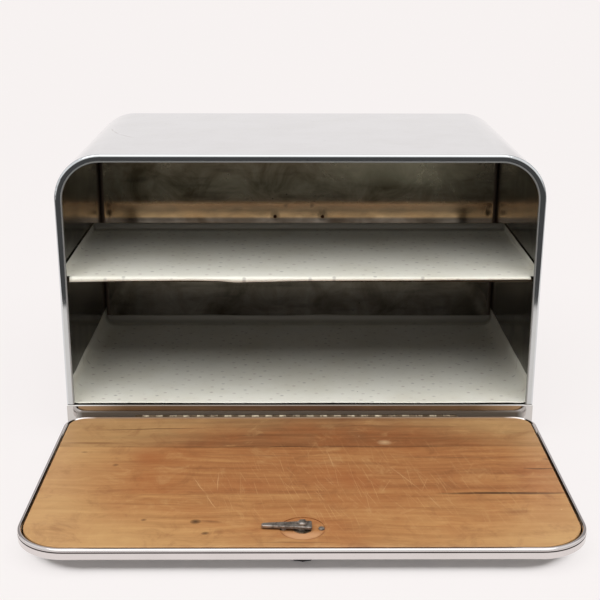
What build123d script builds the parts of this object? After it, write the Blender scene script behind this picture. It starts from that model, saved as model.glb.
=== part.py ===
"""Chromed steel bread box with a drop-front door, shown with the door open.

Millimetres, +Z up, +Y towards the back. The origin is on the table under the middle of the
whole outline, door open. The casing's front plane is at y = front_y.
"""

import os
from math import atan, cos, degrees, pi, sin, sqrt

from build123d import *

os.makedirs("parts", exist_ok=True)

# Casing
box_width = 428.0
box_depth = 240.0
case_height = 255.5
corner_radius = 41.0
sheet = 0.8
foot_height = 8.0
rim_width = 6.8
rim_bend = 2.0
lip_depth = 2.6
rear_flange = 8.0
base_flange = 16.0
base_bend = 2.0
seam_gap = 0.2
cut_margin = 1.0
catch_notch_width = 48.0

# Back panel, floor and apron
panel_sheet = 0.6
panel_dish = 4.0
panel_bevel = 1.4
apron_height = 23.8
apron_flange = 12.0
hem_depth = 2.4
hem_drop = 4.0
hem_slack = 0.01
floor_drop = 0.5
floor_flange = 10.0
floor_bend = 1.5

# Shelf and the two liners
shelf_above_floor = 120.9
shelf_depth = 176.8
shelf_setback = 4.2
shelf_side_gap = 0.4
shelf_flange = 7.0
shelf_bend = 1.5
shelf_roll_drop = 4.3
shelf_roll_radius = 1.8
shelf_roll_return = 7.0
ledge_width = 8.0
ledge_drop = 12.0
ledge_stop_height = 5.5
liner_sheet = 0.7
liner_gap = 0.15
liner_curl = 9.0
liner_side_rise = 19.0
liner_rear_rise = 9.0

# Door
door_side_gap = 1.0
door_top_gap = 1.2
door_closed_gap = 0.5
door_skirt = 8.8
door_sheet = 0.8
door_edge_bevel = 1.0
door_near_radius = 19.0
bead_width = 3.2
bead_height = 2.6
bead_round = 1.8
bead_inner_bevel = 0.9
bead_groove = 0.4
board_gap = 1.2
board_ease = 0.6
plank_joints = (0.266, 0.645)

# Piano hinge
knuckle_radius = 2.0
knuckle_sides = 10
bore_sides = 6
knuckle_length = 6.28
knuckle_gap = 0.2
knuckle_count = 47
hinge_offset_x = -3.6
hinge_relief = 0.3
leaf_sheet = 0.8
body_leaf_height = 7.6
door_leaf_height = 4.0
pin_radius = 0.9
pin_clearance = 0.05
pin_overhang = 0.6
pin_drop = 11.0
hinge_fixing_count = 6

# Latch
latch_inset = 31.1
recess_radius = 17.0
recess_depth = 0.8
spindle_radius = 3.0
spindle_clearance = 0.05
spindle_thread_radius = 2.0
spindle_square = 4.2
bush_radius = 4.5
bush_collar_radius = 7.0
bush_collar = 0.8
cam_clearance = 0.3
cam_reach = 30.5
cam_heel = 7.0
cam_heel_width = 10.4
cam_hub_radius = 4.6
cam_thickness = 2.0
cam_bevel = 0.5
cam_tip_width = 4.2
nut_radius = 4.0
nut_height = 2.4
nut_sides = 6
nut_bevel = 0.9
knob_radius = 12.0
knob_neck_radius = 7.5
knob_bevel = 2.0
knob_grip_share = 0.45
knob_floor_gap = 0.3
knob_flutes = 12
flute_depth = 0.9
escutcheon_radius = 19.0
escutcheon_sheet = 1.2
escutcheon_sides = 36
latch_screw_spread = 14.2
latch_screw_radius = 1.2
latch_screw_head = 2.4
latch_screw_head_height = 1.5
small_sides = 10
hole_sides = 6
turn_gap = 0.3

# Feet and small fastenings
foot_radius = 6.5
foot_tread_radius = 5.6
foot_edge = 1.0
foot_well_gap = 0.4
foot_sides = 16
foot_inset_x = 9.2
foot_inset_front = 24.0
foot_inset_rear = 22.0
rivet_radius = 1.5
rivet_head_radius = 3.2
rivet_head = 1.2
rivet_tail_radius = 2.6
rivet_tail = 0.9
foot_recess = 3.7
hinge_rivet_radius = 1.2
hinge_rivet_head = 1.9
hinge_rivet_thickness = 0.7
nail_radius = 0.7
nail_head_radius = 1.4
nail_head = 0.6
nail_bite = 8.0
back_rivet_spread = 51.4
back_rivet_height = 0.6
back_rivet_radius = 1.9

# Heights
case_bottom = foot_height
case_top = case_bottom + case_height
apron_top = case_bottom + apron_height
floor_top = apron_top - floor_drop
shelf_top = floor_top + shelf_above_floor
pin_z = apron_top - pin_drop
door_top_z = pin_z + knuckle_radius + hinge_relief - door_closed_gap
door_outer_z = door_top_z - door_skirt
board_base_z = door_outer_z + door_sheet

# Distances along y, all worked out from the casing's front plane
pin_standoff = knuckle_radius + hinge_relief
door_far_edge = case_top - door_top_gap - pin_z
door_reach = pin_standoff + door_far_edge
front_y = (door_reach - box_depth) / 2
pin_y = front_y - pin_standoff
door_near_y = pin_y - pin_standoff
door_far_y = pin_y - door_far_edge
door_length = door_near_y - door_far_y
door_width = box_width - 2 * door_side_gap
panel_face_y = front_y + box_depth - sheet - panel_dish
case_back_y = front_y + box_depth
shelf_front_y = front_y + shelf_setback
shelf_rear_y = shelf_front_y + shelf_depth
half_width = box_width / 2
inner_half = half_width - sheet
latch_y = door_far_y + latch_inset
latch_screw_spots = [(side * latch_screw_spread, latch_y) for side in (-1, 1)]


def finish(name, part):
    """Label one piece and write its STEP file."""
    part.label = name
    export_step(part, f"parts/{name}.step")


def door_outline(inset):
    """The door's plan, seen from above with the door open, drawn in by inset all round."""
    with BuildSketch(mode=Mode.PRIVATE) as outline:
        with Locations((0, (door_near_y + door_far_y) / 2)):
            Rectangle(door_width - 2 * inset, door_length - 2 * inset)
        fillet(outline.vertices().group_by(Axis.Y)[0], corner_radius - door_side_gap - inset)
        fillet(outline.vertices().group_by(Axis.Y)[-1], door_near_radius - inset)
    return outline.sketch


# Casing: one sheet bent over from side to side, with a rolled front rim and a rear flange
with BuildPart() as body_wrap:
    wall_start = case_bottom + base_bend
    with BuildLine(Plane.XZ.offset(-front_y)) as wrap_path:
        FilletPolyline(
            (-half_width, wall_start),
            (-half_width, case_top),
            (half_width, case_top),
            (half_width, wall_start),
            radius=corner_radius,
        )
    wrap_plane = Plane(origin=(-half_width, front_y, wall_start), x_dir=(1, 0, 0), z_dir=(0, 0, 1))
    with BuildSketch(wrap_plane) as wrap_section:
        with BuildLine():
            FilletPolyline(
                (rim_width, lip_depth),
                (rim_width, 0),
                (0, 0),
                (0, box_depth),
                (rear_flange, box_depth),
                radius=(0, rim_bend, 0),
            )
            offset(amount=sheet, side=Side.RIGHT)
        make_face()
    sweep(path=wrap_path.wire())
    for side in (-1, 1):
        with BuildSketch(Plane.XZ.offset(-front_y - sheet)) as flange_section:
            with BuildLine():
                FilletPolyline(
                    (side * half_width, wall_start + sheet),
                    (side * half_width, case_bottom),
                    (side * (half_width - base_flange), case_bottom),
                    radius=base_bend,
                )
                offset(amount=sheet, side=Side.LEFT if side < 0 else Side.RIGHT)
            make_face()
        extrude(amount=-(box_depth - 2 * sheet))
    notch_top = apron_top + 3 * seam_gap
    notch_height = notch_top - case_bottom + cut_margin
    for notch_width, notch_depth in (
        (box_width + cut_margin, sheet + seam_gap / 2),
        (2 * inner_half, lip_depth + cut_margin),
    ):
        with Locations((0, front_y + notch_depth, notch_top)):
            Box(
                notch_width,
                notch_depth + cut_margin,
                notch_height,
                align=(Align.CENTER, Align.MAX, Align.MAX),
                mode=Mode.SUBTRACT,
            )
    flange_notch = apron_flange + seam_gap
    with Locations((0, front_y + flange_notch, case_bottom + base_bend)):
        Box(
            box_width - 2 * base_bend,
            flange_notch + cut_margin,
            base_bend + cut_margin,
            align=(Align.CENTER, Align.MAX, Align.MAX),
            mode=Mode.SUBTRACT,
        )
    with Locations((0, front_y + sheet, case_top - rim_width - seam_gap)):
        Box(
            catch_notch_width,
            lip_depth,
            sheet + 2 * seam_gap,
            align=(Align.CENTER, Align.MIN, Align.MIN),
            mode=Mode.SUBTRACT,
        )
    foot_spots = [
        (side * (half_width - foot_inset_x), y)
        for side in (-1, 1)
        for y in (front_y + foot_inset_front, case_back_y - foot_inset_rear)
    ]
    with BuildSketch(Plane.XY.offset(case_bottom)) as foot_holes:
        with Locations(*foot_spots):
            RegularPolygon(rivet_radius, hole_sides)
    extrude(amount=sheet, mode=Mode.SUBTRACT)
finish("body_wrap", body_wrap.part)

# Back panel: a shallow tray that faces inwards, its edge turned back to the rear flange
panel_half = inner_half - seam_gap
with BuildPart() as back_panel:
    with BuildSketch(Plane.XZ.offset(-panel_face_y)) as panel_outline:
        panel_bottom = case_bottom + sheet + seam_gap
        panel_top = case_top - sheet - seam_gap
        with Locations((0, (panel_bottom + panel_top) / 2)):
            Rectangle(2 * panel_half, panel_top - panel_bottom)
        fillet(panel_outline.vertices().group_by(Axis.Y)[-1], corner_radius - sheet - seam_gap)
        fillet(panel_outline.vertices().group_by(Axis.Y)[0], base_bend)
    extrude(amount=-panel_dish)
    chamfer(back_panel.faces().sort_by(Axis.Y)[0].edges(), panel_bevel)
    offset(amount=-panel_sheet, openings=back_panel.faces().sort_by(Axis.Y)[-1])
    back_rivet_spots = [(side * back_rivet_spread / 2, shelf_top + back_rivet_height) for side in (-1, 1)]
    with BuildSketch(Plane.XZ.offset(-panel_face_y)) as back_rivet_holes:
        with Locations(*back_rivet_spots):
            RegularPolygon(back_rivet_radius / 2, hole_sides)
    extrude(amount=-panel_sheet, mode=Mode.SUBTRACT)
finish("back_panel", back_panel.part)

# Two flat rivets left in the back panel, just above the shelf
with BuildPart() as back_rivets:
    with BuildSketch(Plane.XZ.offset(-panel_face_y)) as back_rivet_heads:
        with Locations(*back_rivet_spots):
            RegularPolygon(back_rivet_radius, small_sides)
    extrude(amount=panel_sheet)
    chamfer(back_rivets.faces().sort_by(Axis.Y)[:2].edges(), panel_sheet / 2)
    with BuildSketch(Plane.XZ.offset(-panel_face_y)) as back_rivet_shanks:
        with Locations(*back_rivet_spots):
            RegularPolygon(back_rivet_radius / 2, hole_sides)
    extrude(amount=-2 * panel_sheet)
finish("back_rivets", back_rivets.part)

# Floor: an upturned tray whose edges are turned down against the walls
floor_front_y = front_y + hem_depth + seam_gap
floor_rear_y = panel_face_y - seam_gap / 2
with BuildPart() as floor_pan:
    with Locations((0, floor_front_y, floor_top)):
        Box(
            2 * (inner_half - seam_gap),
            floor_rear_y - floor_front_y,
            floor_flange,
            align=(Align.CENTER, Align.MIN, Align.MAX),
        )
    fillet(floor_pan.faces().sort_by(Axis.Z)[-1].edges(), floor_bend)
    offset(amount=-sheet, openings=floor_pan.faces().sort_by(Axis.Z)[0])
finish("floor_pan", floor_pan.part)

# Hinge fixings share their spacing along the hinge
hinge_length = knuckle_count * knuckle_length
hinge_start_x = hinge_offset_x - hinge_length / 2
fixing_knuckles = [
    round((i + 0.5) * (knuckle_count - 1) / hinge_fixing_count) // 2 * 2 for i in range(hinge_fixing_count)
]
leaf_top = pin_z - sqrt(pin_standoff**2 - (pin_standoff - leaf_sheet) ** 2)
rivet_xs = [hinge_start_x + (k + 0.5) * knuckle_length for k in fixing_knuckles]
rivet_spots = [(x, leaf_top - body_leaf_height / 2) for x in rivet_xs]
nail_spots = [(x + knuckle_length, leaf_top - door_leaf_height / 2) for x in rivet_xs]

# Apron: the strip below the opening, hemmed at the top and flanged at the bottom
with BuildPart() as front_apron:
    with BuildSketch(Plane.YZ.offset(-half_width)) as apron_section:
        with BuildLine():
            FilletPolyline(
                (front_y + apron_flange, case_bottom),
                (front_y, case_bottom),
                (front_y, apron_top),
                (front_y + hem_depth, apron_top),
                (front_y + hem_depth, apron_top - hem_drop),
                radius=(base_bend, hem_depth / 2, hem_depth / 2 - hem_slack),
            )
            offset(amount=sheet, side=Side.LEFT)
        make_face()
    extrude(amount=box_width)
    trim = base_bend + seam_gap
    for side in (-1, 1):
        with Locations((side * half_width, front_y + sheet, case_bottom - cut_margin)):
            Box(
                2 * trim,
                apron_flange + cut_margin,
                apron_height + 2 * cut_margin,
                align=(Align.CENTER, Align.MIN, Align.MIN),
                mode=Mode.SUBTRACT,
            )
    with BuildSketch(Plane.XZ.offset(-front_y)) as apron_holes:
        with Locations(*rivet_spots):
            RegularPolygon(hinge_rivet_radius, hole_sides)
    extrude(amount=-sheet, mode=Mode.SUBTRACT)
finish("front_apron", front_apron.part)

# Shelf: a shallow tray with a rolled front edge, open at the front
shelf_half = inner_half - shelf_side_gap
roll_end_y = shelf_front_y + shelf_roll_return
with BuildPart() as shelf_pan:
    with Locations((0, shelf_front_y + shelf_roll_radius, shelf_top - sheet)):
        Box(
            2 * shelf_half,
            shelf_depth - shelf_roll_radius,
            shelf_flange + sheet,
            align=(Align.CENTER, Align.MIN, Align.MIN),
        )
    tray_sides = shelf_pan.edges().group_by(Axis.Z)[0]
    fillet(tray_sides.sort_by(Axis.Y)[1:], shelf_bend)
    offset(amount=-sheet, openings=shelf_pan.faces().sort_by(Axis.Z)[-1])
    with Locations((0, shelf_front_y, shelf_top)):
        Box(
            box_width,
            shelf_roll_radius + sheet,
            2 * shelf_flange,
            align=(Align.CENTER, Align.MIN, Align.MIN),
            mode=Mode.SUBTRACT,
        )
    with BuildSketch(Plane.YZ.offset(-(shelf_half - shelf_bend))) as roll_section:
        with BuildLine():
            FilletPolyline(
                (shelf_front_y + 2 * shelf_roll_radius, shelf_top),
                (shelf_front_y, shelf_top),
                (shelf_front_y, shelf_top - shelf_roll_drop),
                (roll_end_y, shelf_top - shelf_roll_drop),
                radius=shelf_roll_radius,
            )
            offset(amount=sheet, side=Side.LEFT)
        make_face()
    extrude(amount=2 * (shelf_half - shelf_bend))
finish("shelf_pan", shelf_pan.part)

# Shelf ledges: angles welded to the side walls, each with an upturned stop at the rear
ledge_top = shelf_top - sheet
ledge_start_y = roll_end_y + seam_gap
for side, name in ((-1, "shelf_ledge_left"), (1, "shelf_ledge_right")):
    with BuildPart() as ledge:
        with BuildSketch(Plane.XZ.offset(-ledge_start_y)) as ledge_section:
            with BuildLine():
                FilletPolyline(
                    (side * inner_half, ledge_top - ledge_drop),
                    (side * inner_half, ledge_top),
                    (side * (inner_half - ledge_width), ledge_top),
                    radius=floor_bend,
                )
                offset(amount=sheet, side=Side.RIGHT if side < 0 else Side.LEFT)
            make_face()
        extrude(amount=-(shelf_rear_y + seam_gap + sheet - ledge_start_y))
        with Locations((side * (inner_half - floor_bend), shelf_rear_y + seam_gap, ledge_top - sheet)):
            Box(
                ledge_width - floor_bend,
                sheet,
                sheet + ledge_stop_height,
                align=(Align.MIN if side < 0 else Align.MAX, Align.MIN, Align.MIN),
            )
    finish(name, ledge.part)

# Shelf liner: a sheet laid in the shelf, turned up at three edges and over the front roll
liner_half = shelf_half - sheet - liner_gap
liner_rear_y = shelf_rear_y - sheet - liner_gap
liner_start_y = shelf_front_y + shelf_roll_radius
with BuildPart() as shelf_liner:
    with Locations((0, liner_start_y, shelf_top)):
        Box(
            2 * liner_half,
            liner_rear_y - liner_start_y,
            shelf_flange,
            align=(Align.CENTER, Align.MIN, Align.MIN),
        )
    fillet(shelf_liner.edges().group_by(Axis.Z)[0].sort_by(Axis.Y)[1:], shelf_bend)
    offset(amount=-liner_sheet, openings=shelf_liner.faces().sort_by(Axis.Z)[-1])
    with Locations((0, shelf_front_y, shelf_top + liner_sheet)):
        Box(
            box_width,
            shelf_roll_radius + liner_sheet,
            2 * shelf_flange,
            align=(Align.CENTER, Align.MIN, Align.MIN),
            mode=Mode.SUBTRACT,
        )
    wrap_half = half_width - rim_width - seam_gap
    with BuildSketch(Plane.YZ.offset(-wrap_half)) as fold_section:
        with BuildLine():
            FilletPolyline(
                (shelf_front_y + 2 * shelf_roll_radius, shelf_top),
                (shelf_front_y, shelf_top),
                (shelf_front_y, shelf_top - shelf_roll_drop),
                radius=shelf_roll_radius,
            )
            offset(amount=liner_sheet, side=Side.RIGHT)
        make_face()
    extrude(amount=2 * wrap_half)
finish("shelf_liner", shelf_liner.part)

# Floor liner: cut larger than the floor, so its sides curl up the walls
floor_liner_half = inner_half - liner_gap
floor_liner_front_y = floor_front_y + floor_bend
floor_liner_rear_y = panel_face_y - liner_gap
with BuildPart() as floor_liner:
    with Locations((0, floor_liner_front_y, floor_top)):
        Box(
            2 * floor_liner_half,
            floor_liner_rear_y - floor_liner_front_y,
            liner_side_rise,
            align=(Align.CENTER, Align.MIN, Align.MIN),
        )
    fillet(floor_liner.edges().group_by(Axis.Z)[0].sort_by(Axis.Y)[1:], liner_curl)
    offset(amount=-liner_sheet, openings=floor_liner.faces().sort_by(Axis.Z)[-1])
    with Locations((0, floor_liner_front_y, floor_top + liner_sheet)):
        Box(
            box_width,
            2 * liner_sheet,
            2 * liner_side_rise,
            align=(Align.CENTER, Align.CENTER, Align.MIN),
            mode=Mode.SUBTRACT,
        )
    with Locations((0, floor_liner_rear_y + cut_margin, floor_top + liner_rear_rise)):
        Box(
            2 * (floor_liner_half - liner_curl),
            liner_sheet + 2 * cut_margin,
            liner_side_rise,
            align=(Align.CENTER, Align.MAX, Align.MIN),
            mode=Mode.SUBTRACT,
        )
finish("floor_liner", floor_liner.part)

# Feet: rubber buttons, each riveted through the casing's base flange
foot_names = ("foot_front_left", "foot_rear_left", "foot_front_right", "foot_rear_right")
for name, foot_spot in zip(foot_names, foot_spots):
    with BuildPart() as foot:
        with BuildSketch() as foot_section:
            with Locations(foot_spot):
                RegularPolygon(foot_radius, foot_sides)
        extrude(amount=foot_height)
        chamfer(foot.faces().sort_by(Axis.Z)[0].edges(), foot_edge, foot_radius - foot_tread_radius)
        with BuildSketch() as foot_well:
            with Locations(foot_spot):
                RegularPolygon(rivet_head_radius + foot_well_gap, small_sides)
        extrude(amount=foot_recess, mode=Mode.SUBTRACT)
        with BuildSketch() as foot_bore:
            with Locations(foot_spot):
                RegularPolygon(rivet_radius, hole_sides)
        extrude(amount=foot_height, mode=Mode.SUBTRACT)
    finish(name, foot.part)

with BuildPart() as foot_rivets:
    for base_z, length, radius, sides in (
        (foot_recess - rivet_head, rivet_head, rivet_head_radius, small_sides),
        (foot_recess, case_bottom + sheet - foot_recess, rivet_radius, hole_sides),
        (case_bottom + sheet, rivet_tail, rivet_tail_radius, small_sides),
    ):
        with BuildSketch(Plane.XY.offset(base_z)) as foot_rivet_section:
            with Locations(*foot_spots):
                RegularPolygon(radius, sides)
        extrude(amount=length)
finish("foot_rivets", foot_rivets.part)


def knuckle_starts(first):
    """Left ends of every second knuckle, counted from the first one."""
    return [hinge_start_x + i * knuckle_length + knuckle_gap / 2 for i in range(first, knuckle_count, 2)]


# Piano hinge: each leaf is a strip with tabs that curl into its own knuckles
knuckle_corner_radius = knuckle_radius / cos(pi / knuckle_sides)
bore_corner_radius = (pin_radius + pin_clearance) / cos(pi / bore_sides)
for name, first, side, leaf_height, fixing_spots, fixing_radius in (
    ("hinge_body_leaf", 0, 1, body_leaf_height, rivet_spots, hinge_rivet_radius),
    ("hinge_door_leaf", 1, -1, door_leaf_height, nail_spots, nail_radius),
):
    leaf_face_y = pin_y + side * pin_standoff
    inward = Align.MAX if side > 0 else Align.MIN
    with BuildPart() as leaf:
        with Locations((hinge_offset_x, leaf_face_y, leaf_top)):
            Box(hinge_length, leaf_sheet, leaf_height, align=(Align.CENTER, inward, Align.MAX))
        for x in knuckle_starts(first):
            with BuildSketch(Plane.YZ.offset(x)) as knuckle_section:
                with Locations((pin_y, pin_z)):
                    RegularPolygon(knuckle_corner_radius, knuckle_sides)
                with Locations((leaf_face_y, pin_z)):
                    Rectangle(leaf_sheet, pin_z - leaf_top, align=(inward, Align.MAX))
                with Locations((pin_y, pin_z)):
                    RegularPolygon(bore_corner_radius, bore_sides, mode=Mode.SUBTRACT)
            extrude(amount=knuckle_length - knuckle_gap)
        with BuildSketch(Plane.XZ.offset(-leaf_face_y)) as leaf_holes:
            with Locations(*fixing_spots):
                RegularPolygon(fixing_radius, hole_sides)
        extrude(amount=side * leaf_sheet, mode=Mode.SUBTRACT)
    finish(name, leaf.part)

with BuildPart() as hinge_pin:
    with BuildSketch(Plane.YZ.offset(hinge_start_x - pin_overhang)) as pin_section:
        with Locations((pin_y, pin_z)):
            Circle(pin_radius)
    extrude(amount=hinge_length + 2 * pin_overhang)
finish("hinge_pin", hinge_pin.part)

with BuildPart() as hinge_rivets:
    head_face_y = front_y - leaf_sheet - hinge_rivet_thickness
    with BuildSketch(Plane.XZ.offset(-head_face_y)) as hinge_rivet_heads:
        with Locations(*rivet_spots):
            RegularPolygon(hinge_rivet_head, small_sides)
    extrude(amount=-hinge_rivet_thickness)
    chamfer(hinge_rivets.faces().sort_by(Axis.Y)[:hinge_fixing_count].edges(), hinge_rivet_thickness / 2)
    with BuildSketch(Plane.XZ.offset(-head_face_y - hinge_rivet_thickness)) as hinge_rivet_shanks:
        with Locations(*rivet_spots):
            RegularPolygon(hinge_rivet_radius, hole_sides)
    extrude(amount=-leaf_sheet - sheet)
    with BuildSketch(Plane.XZ.offset(-front_y - sheet)) as hinge_rivet_tails:
        with Locations(*rivet_spots):
            RegularPolygon(hinge_rivet_head, small_sides)
    extrude(amount=-hinge_rivet_thickness)
finish("hinge_rivets", hinge_rivets.part)

# Cutting board's place in the door, from the hinge to the latch
board_inset = bead_width + board_gap
board_near_edge = door_near_y - board_inset
board_length = door_length - 2 * board_inset
board_thickness = door_top_z - board_base_z

with BuildPart() as hinge_nails:
    nail_face_y = door_near_y + leaf_sheet
    with BuildSketch(Plane.XZ.offset(-nail_face_y)) as nail_shanks:
        with Locations(*nail_spots):
            RegularPolygon(nail_radius, hole_sides)
    extrude(amount=nail_face_y - board_near_edge + nail_bite)
    with BuildSketch(Plane.XZ.offset(-nail_face_y)) as nail_heads:
        with Locations(*nail_spots):
            RegularPolygon(nail_head_radius, small_sides)
    extrude(amount=-nail_head)
finish("hinge_nails", hinge_nails.part)

# Door skin: a sheet whose edge is turned up into a skirt and rolled over into a hollow bead
bead_foot_z = door_top_z - bead_height
with BuildPart() as door_skin:
    extrude(door_outline(0).moved(Pos(0, 0, door_outer_z)), amount=door_skirt)
    chamfer(door_skin.faces().sort_by(Axis.Z)[0].edges(), door_edge_bevel)
    extrude(
        door_outline(door_sheet).moved(Pos(0, 0, board_base_z)),
        amount=bead_foot_z - board_base_z,
        mode=Mode.SUBTRACT,
    )
    extrude(
        door_outline(bead_width).moved(Pos(0, 0, bead_foot_z)),
        amount=bead_height,
        mode=Mode.SUBTRACT,
    )
    bead_top_wires = door_skin.faces().sort_by(Axis.Z)[-1].wires().sort_by(SortBy.LENGTH)
    fillet(bead_top_wires[-1].edges(), bead_round)
    bead_top_wires = door_skin.faces().sort_by(Axis.Z)[-1].wires().sort_by(SortBy.LENGTH)
    chamfer(bead_top_wires[0].edges(), bead_inner_bevel)
    groove_ring = door_outline(-bead_groove) - door_outline(bead_groove)
    extrude(
        groove_ring.moved(Pos(0, 0, bead_foot_z - bead_groove)),
        amount=2 * bead_groove,
        mode=Mode.SUBTRACT,
    )
    hollow_ring = door_outline(door_sheet) - door_outline(bead_width - door_sheet)
    extrude(
        hollow_ring.moved(Pos(0, 0, bead_foot_z + bead_groove)),
        amount=bead_height - door_sheet - bead_groove,
        mode=Mode.SUBTRACT,
    )
    with Locations((0, latch_y, board_base_z)):
        Hole(bush_radius, depth=2 * door_sheet)
    with BuildSketch(Plane.XY.offset(board_base_z)) as skin_screw_holes:
        with Locations(*latch_screw_spots):
            RegularPolygon(latch_screw_radius, hole_sides)
    extrude(amount=-door_sheet, mode=Mode.SUBTRACT)
    with BuildSketch(Plane.XZ.offset(-door_near_y)) as skin_nail_holes:
        with Locations(*nail_spots):
            RegularPolygon(nail_radius, hole_sides)
    extrude(amount=door_sheet, mode=Mode.SUBTRACT)
finish("door_skin", door_skin.part)

# Cutting board: three planks glued edge to edge, filling the door inside its bead
joint_ys = [board_near_edge - share * board_length for share in plank_joints]
plank_edges = [board_near_edge, *joint_ys, board_near_edge - board_length]
plank_names = ("board_plank_hinge_side", "board_plank_middle", "board_plank_latch_side")
for name, near_edge, far_edge in zip(plank_names, plank_edges, plank_edges[1:]):
    with BuildPart() as plank:
        with BuildSketch(Plane.XY.offset(board_base_z)) as plank_outline:
            add(door_outline(board_inset))
            with Locations((0, near_edge)):
                Rectangle(
                    box_width,
                    near_edge - far_edge,
                    align=(Align.CENTER, Align.MAX),
                    mode=Mode.INTERSECT,
                )
        extrude(amount=board_thickness)
        top_edges = plank.faces().sort_by(Axis.Z)[-1].edges()
        outer_edges = top_edges.filter_by(
            lambda edge: all(abs(edge.center().Y - joint_y) > board_ease for joint_y in joint_ys)
        )
        chamfer(outer_edges, board_ease)
        if name == "board_plank_hinge_side":
            with BuildSketch(Plane.XZ.offset(-board_near_edge)) as board_nail_holes:
                with Locations(*nail_spots):
                    RegularPolygon(nail_radius, hole_sides)
            extrude(amount=nail_bite, mode=Mode.SUBTRACT)
        if name == "board_plank_latch_side":
            with Locations((0, latch_y, door_top_z)):
                CounterBoreHole(bush_radius, recess_radius, recess_depth)
            with BuildSketch(Plane.XY.offset(board_base_z)) as board_screw_holes:
                with Locations(*latch_screw_spots):
                    RegularPolygon(latch_screw_radius, hole_sides)
            extrude(amount=board_thickness, mode=Mode.SUBTRACT)
    finish(name, plank.part)

# Latch: a knob outside turns a cam inside, on a spindle that runs in a flanged bush
recess_floor_z = door_top_z - recess_depth
collar_top_z = recess_floor_z + bush_collar
spindle_shoulder_z = collar_top_z + turn_gap
cam_base_z = door_top_z + door_closed_gap + sheet + cam_clearance
cam_top_z = cam_base_z + cam_thickness
escutcheon_base_z = door_outer_z - escutcheon_sheet
knob_top_z = escutcheon_base_z - turn_gap
knob_height = knob_top_z - knob_floor_gap
knob_shoulder_z = knob_floor_gap + knob_grip_share * knob_height
knob_socket_z = knob_floor_gap + knob_height / 3

with BuildPart() as latch_bush:
    with BuildSketch(Plane.XY.offset(door_outer_z)) as bush_section:
        with Locations((0, latch_y)):
            Circle(bush_radius)
    extrude(amount=recess_floor_z - door_outer_z)
    with BuildSketch(Plane.XY.offset(recess_floor_z)) as collar_section:
        with Locations((0, latch_y)):
            Circle(bush_collar_radius)
    extrude(amount=bush_collar)
    with Locations((0, latch_y, collar_top_z)):
        Hole(spindle_radius + spindle_clearance)
finish("latch_bush", latch_bush.part)

with BuildPart() as latch_escutcheon:
    with BuildSketch(Plane.XY.offset(escutcheon_base_z)) as escutcheon_section:
        with Locations((0, latch_y)):
            RegularPolygon(escutcheon_radius, escutcheon_sides)
            Circle(bush_radius, mode=Mode.SUBTRACT)
        with Locations(*latch_screw_spots):
            RegularPolygon(latch_screw_radius, hole_sides, mode=Mode.SUBTRACT)
    extrude(amount=escutcheon_sheet)
    outer_rim = latch_escutcheon.faces().sort_by(Axis.Z)[0].outer_wire()
    chamfer(outer_rim.edges(), escutcheon_sheet / 2)
finish("latch_escutcheon", latch_escutcheon.part)

with BuildPart() as latch_screws:
    with BuildSketch(Plane.XY.offset(recess_floor_z)) as screw_heads:
        with Locations(*latch_screw_spots):
            RegularPolygon(latch_screw_head, small_sides)
    extrude(amount=latch_screw_head_height)
    chamfer(latch_screws.faces().group_by(Axis.Z)[-1].edges(), latch_screw_head_height / 2)
    with BuildSketch(Plane.XY.offset(escutcheon_base_z)) as screw_shanks:
        with Locations(*latch_screw_spots):
            RegularPolygon(latch_screw_radius, hole_sides)
    extrude(amount=recess_floor_z - escutcheon_base_z)
finish("latch_screws", latch_screws.part)

# Knob: a fluted grip that tapers to a round neck against the escutcheon
with BuildPart() as latch_knob:
    with BuildSketch(Plane.XY.offset(knob_floor_gap)) as grip_section:
        with BuildLine():
            Polyline(
                *[
                    (
                        (knob_radius - flute_depth * (i % 2)) * cos(i * pi / knob_flutes),
                        latch_y + (knob_radius - flute_depth * (i % 2)) * sin(i * pi / knob_flutes),
                    )
                    for i in range(2 * knob_flutes)
                ],
                close=True,
            )
        make_face()
    extrude(amount=knob_shoulder_z - knob_floor_gap)
    chamfer(latch_knob.faces().sort_by(Axis.Z)[0].edges(), knob_bevel / 2, knob_bevel)
    with BuildSketch(Plane.XY.offset(knob_shoulder_z)) as shoulder_section:
        with Locations((0, latch_y)):
            RegularPolygon(knob_radius - flute_depth, 2 * knob_flutes)
    shoulder_height = knob_top_z - knob_shoulder_z
    neck_taper = degrees(atan((knob_radius - flute_depth - knob_neck_radius) / shoulder_height))
    extrude(amount=shoulder_height, taper=neck_taper)
    with Locations((0, latch_y, knob_top_z)):
        Hole(spindle_radius, depth=knob_top_z - knob_socket_z)
finish("latch_knob", latch_knob.part)

spindle_top_z = cam_top_z + nut_height / 2
with BuildPart() as latch_spindle:
    with BuildSketch(Plane.XY.offset(knob_socket_z)) as spindle_section:
        with Locations((0, latch_y)):
            Circle(spindle_radius)
    extrude(amount=spindle_shoulder_z - knob_socket_z)
    with BuildSketch(Plane.XY.offset(spindle_shoulder_z)) as square_section:
        with Locations((0, latch_y)):
            Rectangle(spindle_square, spindle_square)
    extrude(amount=cam_top_z - spindle_shoulder_z)
    with BuildSketch(Plane.XY.offset(cam_top_z)) as thread_section:
        with Locations((0, latch_y)):
            Circle(spindle_thread_radius)
    extrude(amount=spindle_top_z - cam_top_z)
finish("latch_spindle", latch_spindle.part)

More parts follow.
